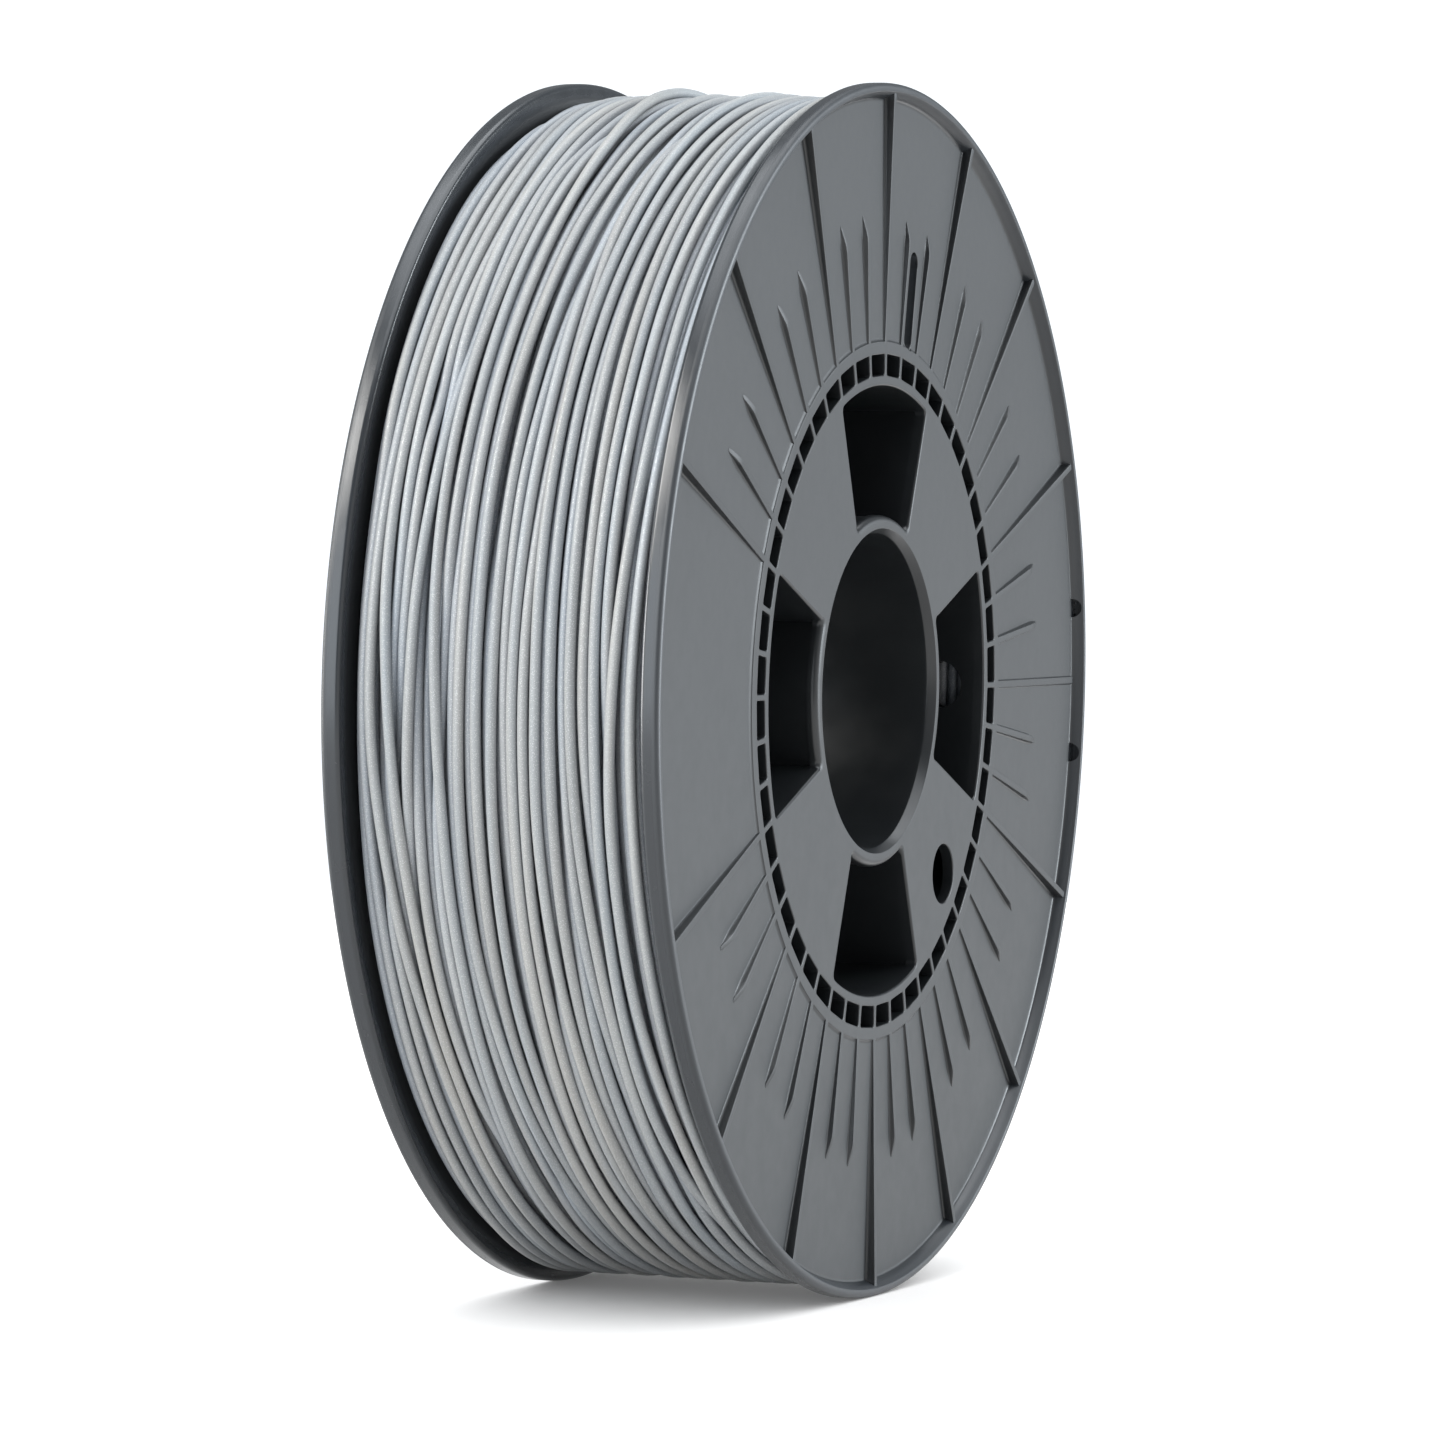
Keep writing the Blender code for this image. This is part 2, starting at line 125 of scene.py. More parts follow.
# The low rib's stations: on the hub's shoulder, on the disc beside it, and past the lip's foot
LOW_RIB_SHOULDER = (0.0002, 0.0001)
LOW_RIB_FROM_HUB = 0.0016
LOW_RIB_PAST_FOOT = 0.0003

# A short rib's ramp: the shares of its length that it is drawn through, and how it narrows
RAMP_SHARES = (0.33, 0.66, 0.88)
RAMP_LEAD = 0.001
RAMP_DROP = 0.00008
RAMP_WIDTH = 0.97
RAMP_NARROWING = 0.35
TIP_WIDTH = 0.3
TIP_HEIGHT = 0.00004

# How finely round shapes are drawn, and how far cutters reach past what they cut
FINE = radians(1.25)
STEPS = 288
CORE_STEPS = 144
DRUM_SIDES = 192
HOLE_SIDES = 48
SLOT_END_STEPS = 12
RIM_HOLE_STEPS = 14
FLOOR_SIDES = 96
BEYOND = 0.002
MERGE_DISTANCE = 0.000001
RIM_HOLE_LEAD = 0.004
RIM_HOLE_RISE = 0.00006
START_HOLE_REACH = (0.047, 0.060)

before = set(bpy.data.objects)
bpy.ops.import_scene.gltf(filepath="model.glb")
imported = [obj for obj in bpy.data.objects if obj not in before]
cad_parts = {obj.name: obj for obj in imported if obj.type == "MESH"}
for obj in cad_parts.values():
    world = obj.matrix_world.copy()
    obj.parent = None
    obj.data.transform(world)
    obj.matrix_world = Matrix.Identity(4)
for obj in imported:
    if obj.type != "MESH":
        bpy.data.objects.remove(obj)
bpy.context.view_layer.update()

UPRIGHT = Matrix(((0, 0, 1), (1, 0, 0), (0, 1, 0))).to_4x4()
CENTRE = Matrix.Translation((0, 0, FLANGE_RADIUS))
NEAR = CENTRE @ UPRIGHT
FAR = CENTRE @ Matrix.Rotation(pi, 4, "Y") @ UPRIGHT


# ----- outlines

def polar(radius, angle):
    return Vector((radius * sin(angle), radius * cos(angle)))


def directions(angle):
    """The unit steps outwards and across at a clock angle."""
    return Vector((sin(angle), cos(angle))), Vector((cos(angle), -sin(angle)))


def arc(radius, start, end):
    count = max(1, round(abs(end - start) / FINE))
    return [polar(radius, start + (end - start) * i / count) for i in range(count + 1)]


def all_round(count):
    """Equally spaced angles, once round."""
    return [tau * i / count for i in range(count)]


def half_round(steps):
    return [pi * i / steps for i in range(steps + 1)]


def circle(centre, radius, sides):
    return [centre + polar(radius, angle) for angle in all_round(sides)]


def turned(points, angle):
    return [Matrix.Rotation(-angle, 2) @ point for point in points]


def mirrored(points):
    return [Vector((-point.x, point.y)) for point in reversed(points)]


def rounded(start, corner, end, count=5):
    """A smooth turn from start to end, pulled towards the corner."""
    shares = [i / count for i in range(count + 1)]
    return [start * (1 - s) ** 2 + corner * 2 * s * (1 - s) + end * s**2 for s in shares]


def line_at_radius(point, direction, radius):
    along = point.dot(direction)
    return point + direction * (sqrt(along**2 - point.length_squared + radius**2) - along)


def window_side():
    inner = polar(WINDOW_INNER_RADIUS, WINDOW_HALF_ANGLE_INNER)
    outer = polar(DRUM_INNER_RADIUS, WINDOW_HALF_ANGLE_OUTER)
    return inner, outer, (outer - inner).normalized()


def window_outline():
    inner, outer, direction = window_side()
    outer_half = WINDOW_HALF_ANGLE_OUTER - WINDOW_CORNER / DRUM_INNER_RADIUS
    inner_half = WINDOW_HALF_ANGLE_INNER - WINDOW_CORNER / WINDOW_INNER_RADIUS
    top = arc(DRUM_INNER_RADIUS, -outer_half, outer_half)
    low = arc(WINDOW_INNER_RADIUS, inner_half, -inner_half)
    right = rounded(top[-1], outer, outer - direction * WINDOW_CORNER)
    right += rounded(inner + direction * WINDOW_CORNER, inner, low[0])
    return top[:-1] + right[:-1] + low[:-1] + mirrored(right)[:-1]


def pocket_outline():
    half_pitch = pi / POCKETS
    corners = []
    for radius, sign in ((POCKET_OUTER_RADIUS, 1), (POCKET_INNER_RADIUS, -1)):
        half = half_pitch - asin(POCKET_BAR / 2 / radius)
        for side in (-sign, sign):
            corners.append(polar(radius, half_pitch + side * half))
    points = []
    for i, here in enumerate(corners):
        before = (corners[i - 1] - here).normalized() * POCKET_CORNER
        after = (corners[(i + 1) % len(corners)] - here).normalized() * POCKET_CORNER
        points += rounded(here + before, here, here + after, 3)
    return points


def pocket_outlines():
    return [turned(pocket_outline(), angle) for angle in all_round(POCKETS)]


def slot_outline():
    radius = SLOT_WIDTH / 2
    low = SLOT_LOW + radius
    high = SLOT_LOW + SLOT_LENGTH - radius
    ends = []
    for centre, start in ((high, -pi / 2), (low, pi / 2)):
        for turn in half_round(SLOT_END_STEPS):
            ends.append(Vector((0, centre)) + polar(radius, start + turn))
    return turned(ends, SLOT_ANGLE)


def hub_outline():
    """The bore's tube with a wall behind each side of each window."""
    corner, _, direction = window_side()
    across = Vector((direction.y, -direction.x)) * HUB_WALL
    sides = (corner, corner + across)
    near_foot, far_foot = [line_at_radius(p, direction, TUBE_RADIUS) for p in sides]
    near_end, far_end = [line_at_radius(p, direction, DRUM_INNER_RADIUS) for p in sides]
    wall = [near_foot, near_end, far_end, far_foot]
    window_half = asin(near_foot.x / TUBE_RADIUS)
    web_start = asin(far_foot.x / TUBE_RADIUS)
    window = arc(TUBE_RADIUS, -window_half, window_half)[1:-1]
    web = arc(TUBE_RADIUS, web_start, tau / WINDOWS - web_start)[1:-1]
    section = window + wall + web + turned(mirrored(wall), tau / WINDOWS)
    return [point for angle in all_round(WINDOWS) for point in turned(section, angle)]


def grown(points, distances):
    """The outline with each point moved outwards by its distance."""
    area = sum(a.x * b.y - b.x * a.y for a, b in zip(points, points[1:] + points[:1]))
    side = 1 if area > 0 else -1
    least_turn = 0.5
    moved = []
    for i, here in enumerate(points):
        before = (here - points[i - 1]).normalized()
        after = (points[(i + 1) % len(points)] - here).normalized()
        along = (before + after).normalized()
        out = Vector((along.y, -along.x)) * side
        moved.append(here + out * (distances[i] / max(least_turn, along.dot(before))))
    return moved


# ----- meshes

def added(name, data):
    made = bpy.data.objects.new(name, data)
    bpy.context.scene.collection.objects.link(made)
    return made


def baked(thing):
    """A new mesh of an object's curve, or of its mesh with its modifiers."""
    evaluated = thing.evaluated_get(bpy.context.evaluated_depsgraph_get())
    return bpy.data.meshes.new_from_object(evaluated)


def solid_mesh(points, faces):
    mesh = bpy.data.meshes.new("solid")
    mesh.from_pydata([tuple(p) for p in points], [], faces)
    work = bmesh.new()
    work.from_mesh(mesh)
    bmesh.ops.recalc_face_normals(work, faces=work.faces)
    work.to_mesh(mesh)
    work.free()
    return mesh


def lathe(profile, steps):
    """A ring with this closed section of (radius, height) points, about local Z."""
    count = len(profile)
    points = []
    for i in range(steps):
        a = tau * (i + 0.5) / steps
        points += [(r * sin(a), r * cos(a), z) for r, z in profile]
    faces = []
    for i in range(steps):
        j = (i + 1) % steps
        for k in range(count):
            m = (k + 1) % count
            faces.append((i * count + k, j * count + k, j * count + m, i * count + m))
    return solid_mesh(points, faces)


def loft(rings):
    """Points and faces of a closed solid through rings of equally many points."""
    count = len(rings[0])
    points = [p for ring in rings for p in ring]
    faces = [tuple(range(count)), tuple(range(len(points) - count, len(points)))]
    for i in range(len(rings) - 1):
        a = i * count
        b = a + count
        for k in range(count):
            m = (k + 1) % count
            faces.append((a + k, a + m, b + m, b + k))
    return points, faces


def joined(solids):
    points, faces = [], []
    for some_points, some_faces in solids:
        start = len(points)
        points += some_points
        faces += [tuple(start + k for k in face) for face in some_faces]
    return solid_mesh(points, faces)


def flared(outline, low, face, radii):
    """A cutter whose mouth at this face has a rounded edge, of one radius or one for each point."""
    if isinstance(radii, float):
        radii = [radii] * len(outline)
    rings = [[(p.x, p.y, low) for p in outline]]
    for angle in EDGE_ANGLES:
        wide = grown(outline, [r * (1 - cos(angle)) for r in radii])
        rings.append([(p.x, p.y, face - r + r * sin(angle)) for p, r in zip(wide, radii)])
    wide = grown(outline, [r * MOUTH_SPREAD for r in radii])
    rings.append([(p.x, p.y, face + MOUTH_RISE) for p in wide])
    rings.append([(p.x, p.y, face + BEYOND) for p in wide])
    return loft(rings)


def window_radii(outline):
    """The window's edge is rounded most where it runs round the bore's tube."""
    radii = []
    for point in outline:
        from_tube = point.length - WINDOW_INNER_RADIUS - TUBE_EDGE_MARGIN
        share = min(1, max(0, from_tube / TUBE_EDGE_FADE))
        radii.append(TUBE_EDGE + (WINDOW_EDGE - TUBE_EDGE) * share)
    return radii


def plate(outlines, low, high):
    """A flat solid between two heights, with these outlines, the inner ones as holes."""
    curve = bpy.data.curves.new("plate", "CURVE")
    curve.dimensions = "2D"
    curve.fill_mode = "BOTH"
    curve.extrude = (high - low) / 2
    for outline in outlines:
        spline = curve.splines.new("POLY")
        spline.points.add(len(outline) - 1)
        spline.use_cyclic_u = True
        for target, point in zip(spline.points, outline):
            target.co = (point.x, point.y, 0, 1)
    holder = added("plate", curve)
    mesh = baked(holder)
    bpy.data.objects.remove(holder)
    bpy.data.curves.remove(curve)
    work = bmesh.new()
    work.from_mesh(mesh)
    bmesh.ops.remove_doubles(work, verts=work.verts, dist=MERGE_DISTANCE)
    bmesh.ops.recalc_face_normals(work, faces=work.faces)
    bmesh.ops.translate(work, vec=(0, 0, (low + high) / 2), verts=work.verts)
    work.to_mesh(mesh)
    work.free()
    return mesh


def carved(mesh, steps):
    """The mesh with other meshes joined on or cut away, in this order."""
    target = added("work", mesh)
    helpers = []
    for operation, other in steps:
        helper = added("helper", other)
        modifier = target.modifiers.new(operation, "BOOLEAN")
        modifier.operation = operation
        modifier.solver = "EXACT"
        modifier.object = helper
        helpers.append(helper)
    result = baked(target)
    for thing in (target, *helpers):
        old = thing.data
        bpy.data.objects.remove(thing)
        bpy.data.meshes.remove(old)
    return result


def piece(name, mesh, matrix, material, nodes, sharp=30):
    """A shown piece, the mesh moved by the matrix, which stands for these CAD nodes."""
    shape = mesh.copy()
    shape.name = name
    shape.transform(matrix)
    made = added(name, shape)
    shape.materials.clear()
    shape.materials.append(material)
    shape.shade_smooth()
    shape.set_sharp_from_angle(angle=radians(sharp))
    weighted = made.modifiers.new("normals", "WEIGHTED_NORMAL")
    weighted.keep_sharp = True
    weighted.weight = 100
    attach(made, "root")
    if nodes:
        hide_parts(*nodes)
    return made


# ----- mouldings

def corner(centre, radius, start, end, count=6):
    """Points round a section's corner, by angle from +radius towards +height."""
    angles = [radians(start + (end - start) * i / count) for i in range(count + 1)]
    return [(centre[0] + radius * cos(a), centre[1] + radius * sin(a)) for a in angles]


def beside(radius, height, curve):
    return [(radius + out, height + up) for out, up in curve]


def disc_level(radius):
    """The disc rises a little from the lip's foot to the hub."""
    return DISC_FACE + DISC_RISE * (LIP_FOOT_RADIUS - radius) / (LIP_FOOT_RADIUS - HUB_RADIUS)


def rim_section():
    """The rim and its lip, from the flange's inner face round to the lip's foot."""
    inner_edge = (FLANGE_RADIUS - RIM_EDGE, FLANGE_INNER_FACE + RIM_EDGE)
    outer_edge = (FLANGE_RADIUS - RIM_EDGE, LIP_TOP - RIM_EDGE)
    lip_edge = (LIP_TOP_RADIUS + LIP_EDGE * LIP_EDGE_INSET, LIP_TOP - LIP_EDGE)
    section = corner(inner_edge, RIM_EDGE, -90, 0)
    section += corner(outer_edge, RIM_EDGE, 0, 90)
    section += corner(lip_edge, LIP_EDGE, 90, LIP_EDGE_END, 3)
    return section + beside(LIP_FOOT_RADIUS, DISC_FACE, LIP_FOOT_CURVE)


def hub_section():
    """The hub's step up from the disc, its face and the bore's chamfer."""
    chamfer_top = BORE_RADIUS + BORE_CHAMFER_WIDTH
    chamfer_foot = HUB_FACE - BORE_CHAMFER_DEPTH
    section = beside(HUB_RADIUS, disc_level(HUB_RADIUS), HUB_FOOT_CURVE)
    section += beside(HUB_RADIUS, HUB_FACE, HUB_TOP_CURVE)
    section += beside(chamfer_top, HUB_FACE, CHAMFER_TOP_CURVE)
    section += beside(BORE_RADIUS, chamfer_foot, CHAMFER_FOOT_CURVE)
    return section + [(BORE_RADIUS, FLANGE_INNER_FACE)]


def stood(section, radius, angle):
    """A section's (across, height) points at this distance from the axis and clock angle."""
    out, across = directions(angle)
    places = [out * radius + across * t for t, _ in section]
    return [(p.x, p.y, z) for p, (_, z) in zip(places, section)]


def rib_height(radius):
    share = (radius - HUB_RADIUS) / (LIP_TOP_RADIUS - HUB_RADIUS)
    return HUB_FACE + (LIP_TOP - RIB_BELOW_LIP - HUB_FACE) * share


def rib_section(ground, top, width):
    """Half of a rib's section from its foot up, as (across, height) points."""
    tall = max(0.0, top - ground)
    half = RIB_HALF_WIDTH * width
    foot = min(RIB_FOOT, tall * RIB_FOOT_MOST)
    edge = min(RIB_EDGE, tall * RIB_EDGE_MOST)
    points = [(half + foot * RIB_FOOT_REACH, ground - RIB_FOOT_SUNK)]
    points += [(half + foot * out, ground + foot * up) for out, up in RIB_FOOT_CURVE]
    points += [(half - edge * inwards, top - edge * down) for inwards, down in RIB_EDGE_CURVE]
    return points


def rib(stations, angle):
    """A rib through (radius, top, width) stations at a clock angle."""
    low = DISC_FACE - RIB_ROOT
    rings = []
    for radius, top, width in stations:
        half = rib_section(disc_level(radius), top, width)
        other_half = [(-t, z) for t, z in reversed(half)]
        section = [(half[0][0], low), *half, *other_half, (-half[0][0], low)]
        rings.append(stood(section, radius, angle))
    return loft(rings)


def long_rib():
    radii = (HUB_RADIUS - RIB_START, HUB_RADIUS + RIB_MIDDLE, LIP_TOP_RADIUS + RIB_END)
    return [(radius, rib_height(radius), 1.0) for radius in radii]


def low_rib():
    """The long rib on the right, which the photo shows almost level with the disc."""
    start = HUB_RADIUS - RIB_START
    out, down = LOW_RIB_SHOULDER
    stations = [(start, rib_height(start), 1.0), (HUB_RADIUS + out, HUB_FACE - down, 1.0)]
    for radius in (HUB_RADIUS + LOW_RIB_FROM_HUB, LIP_FOOT_RADIUS + LOW_RIB_PAST_FOOT):
        stations.append((radius, disc_level(radius) + LOW_RIB_HEIGHT, 1.0))
    return stations


def short_rib():
    start = HUB_RADIUS - RIB_START
    ramp = SHORT_RIB_END - SHORT_RIB_RAMP
    stations = [(start, rib_height(start), 1.0), (ramp - RAMP_LEAD, rib_height(ramp - RAMP_LEAD), 1.0)]
    stations.append((ramp, rib_height(ramp) - RAMP_DROP, RAMP_WIDTH))
    for share in RAMP_SHARES:
        height = disc_level(ramp) + (rib_height(ramp) - disc_level(ramp)) * (1 - share)
        stations.append((ramp + SHORT_RIB_RAMP * share, height, RAMP_WIDTH - share * RAMP_NARROWING))
    stations.append((SHORT_RIB_END, disc_level(SHORT_RIB_END) + TIP_HEIGHT, TIP_WIDTH))
    return stations


def ribs():
    """Every rib's solid: a long one, then two short ones, with none on the blank panel."""
    made = []
    for i in range(RIBS_ROUND):
        angle = i * RIB_PITCH
        if abs(angle - BLANK_PANEL_ANGLE) < BLANK_PANEL_REACH:
            continue
        if i == LOW_RIB:
            stations = low_rib()
        elif i % RIBS_PER_LONG_RIB:
            stations = short_rib()
        else:
            stations = long_rib()
        made.append(rib(stations, angle))
    return made


def rim_hole(angle):
    """A half-round cutter that ends inside the rim."""
    low = DISC_FACE + RIM_HOLE_RISE
    turns = half_round(RIM_HOLE_STEPS)
    ring = [(cos(turn) * RIM_HOLE_RADIUS, low + sin(turn) * RIM_HOLE_RADIUS) for turn in turns]
    reach = (-RIM_HOLE_LEAD, FLANGE_RADIUS - RIM_HOLE_END_WALL - LIP_FOOT_RADIUS)
    return loft([stood(ring, LIP_FOOT_RADIUS + extra, angle) for extra in reach])


def flange_mesh():
    low = FLANGE_INNER_FACE - BEYOND
    cutters = [flared(outline, low, HUB_FACE, SLOT_EDGE) for outline in pocket_outlines()]
    for angle in all_round(WINDOWS):
        window = turned(window_outline(), angle)
        cutters.append(flared(window, low, HUB_FACE, window_radii(window)))
    drive = circle(polar(DRIVE_HOLE_FROM_AXIS, DRIVE_HOLE_ANGLE), DRIVE_HOLE_RADIUS, HOLE_SIDES)
    cutters.append(flared(drive, low, HUB_FACE, DRIVE_HOLE_EDGE))
    slot_face = disc_level(SLOT_LOW + SLOT_LENGTH / 2)
    cutters.append(flared(slot_outline(), low, slot_face, SLOT_EDGE))
    return carved(
        lathe(rim_section() + hub_section(), STEPS),
        [
            ("UNION", joined(ribs())),
            ("DIFFERENCE", joined(cutters)),
            ("DIFFERENCE", joined([rim_hole(a) for a in RIM_HOLE_ANGLES])),
        ],
    )


def drum_mesh():
    outlines = [
        circle(Vector((0, 0)), DRUM_RADIUS, DRUM_SIDES),
        circle(Vector((0, 0)), DRUM_INNER_RADIUS, DRUM_SIDES),
        *pocket_outlines(),
    ]
    mesh = plate(outlines, JOINT_GAP, FLANGE_INNER_FACE)
    ring = []
    for turn in all_round(HOLE_SIDES):
        ring.append((START_HOLE_RADIUS * cos(turn), START_HOLE_HEIGHT + START_HOLE_RADIUS * sin(turn)))
    hole = loft([stood(ring, radius, START_HOLE_ANGLE) for radius in START_HOLE_REACH])
    return carved(mesh, [("DIFFERENCE", joined([hole]))])


def hub_mesh():
    bore = circle(Vector((0, 0)), BORE_RADIUS, STEPS)
    return plate([hub_outline(), turned(bore, pi / STEPS)], JOINT_GAP, FLANGE_INNER_FACE)


def dress_mouldings(material):
    """Both mouldings from the same meshes. The two flange pieces are returned."""
    meshes = {"flange": flange_mesh(), "drum": drum_mesh(), "hub": hub_mesh()}
    nodes = {"flange": "flange", "drum": "drum_half", "hub": "hub_half"}
    flanges = []
    for side, matrix in (("near", NEAR), ("far", FAR)):
        for part, mesh in meshes.items():
            name = f"{side}_{part}_moulding"
            made = piece(name, mesh, matrix, material, [f"{side}_{nodes[part]}"])
            if part == "flange":
                flanges.append(made)
    for mesh in meshes.values():
        bpy.data.meshes.remove(mesh)
    return flanges


# ----- winding

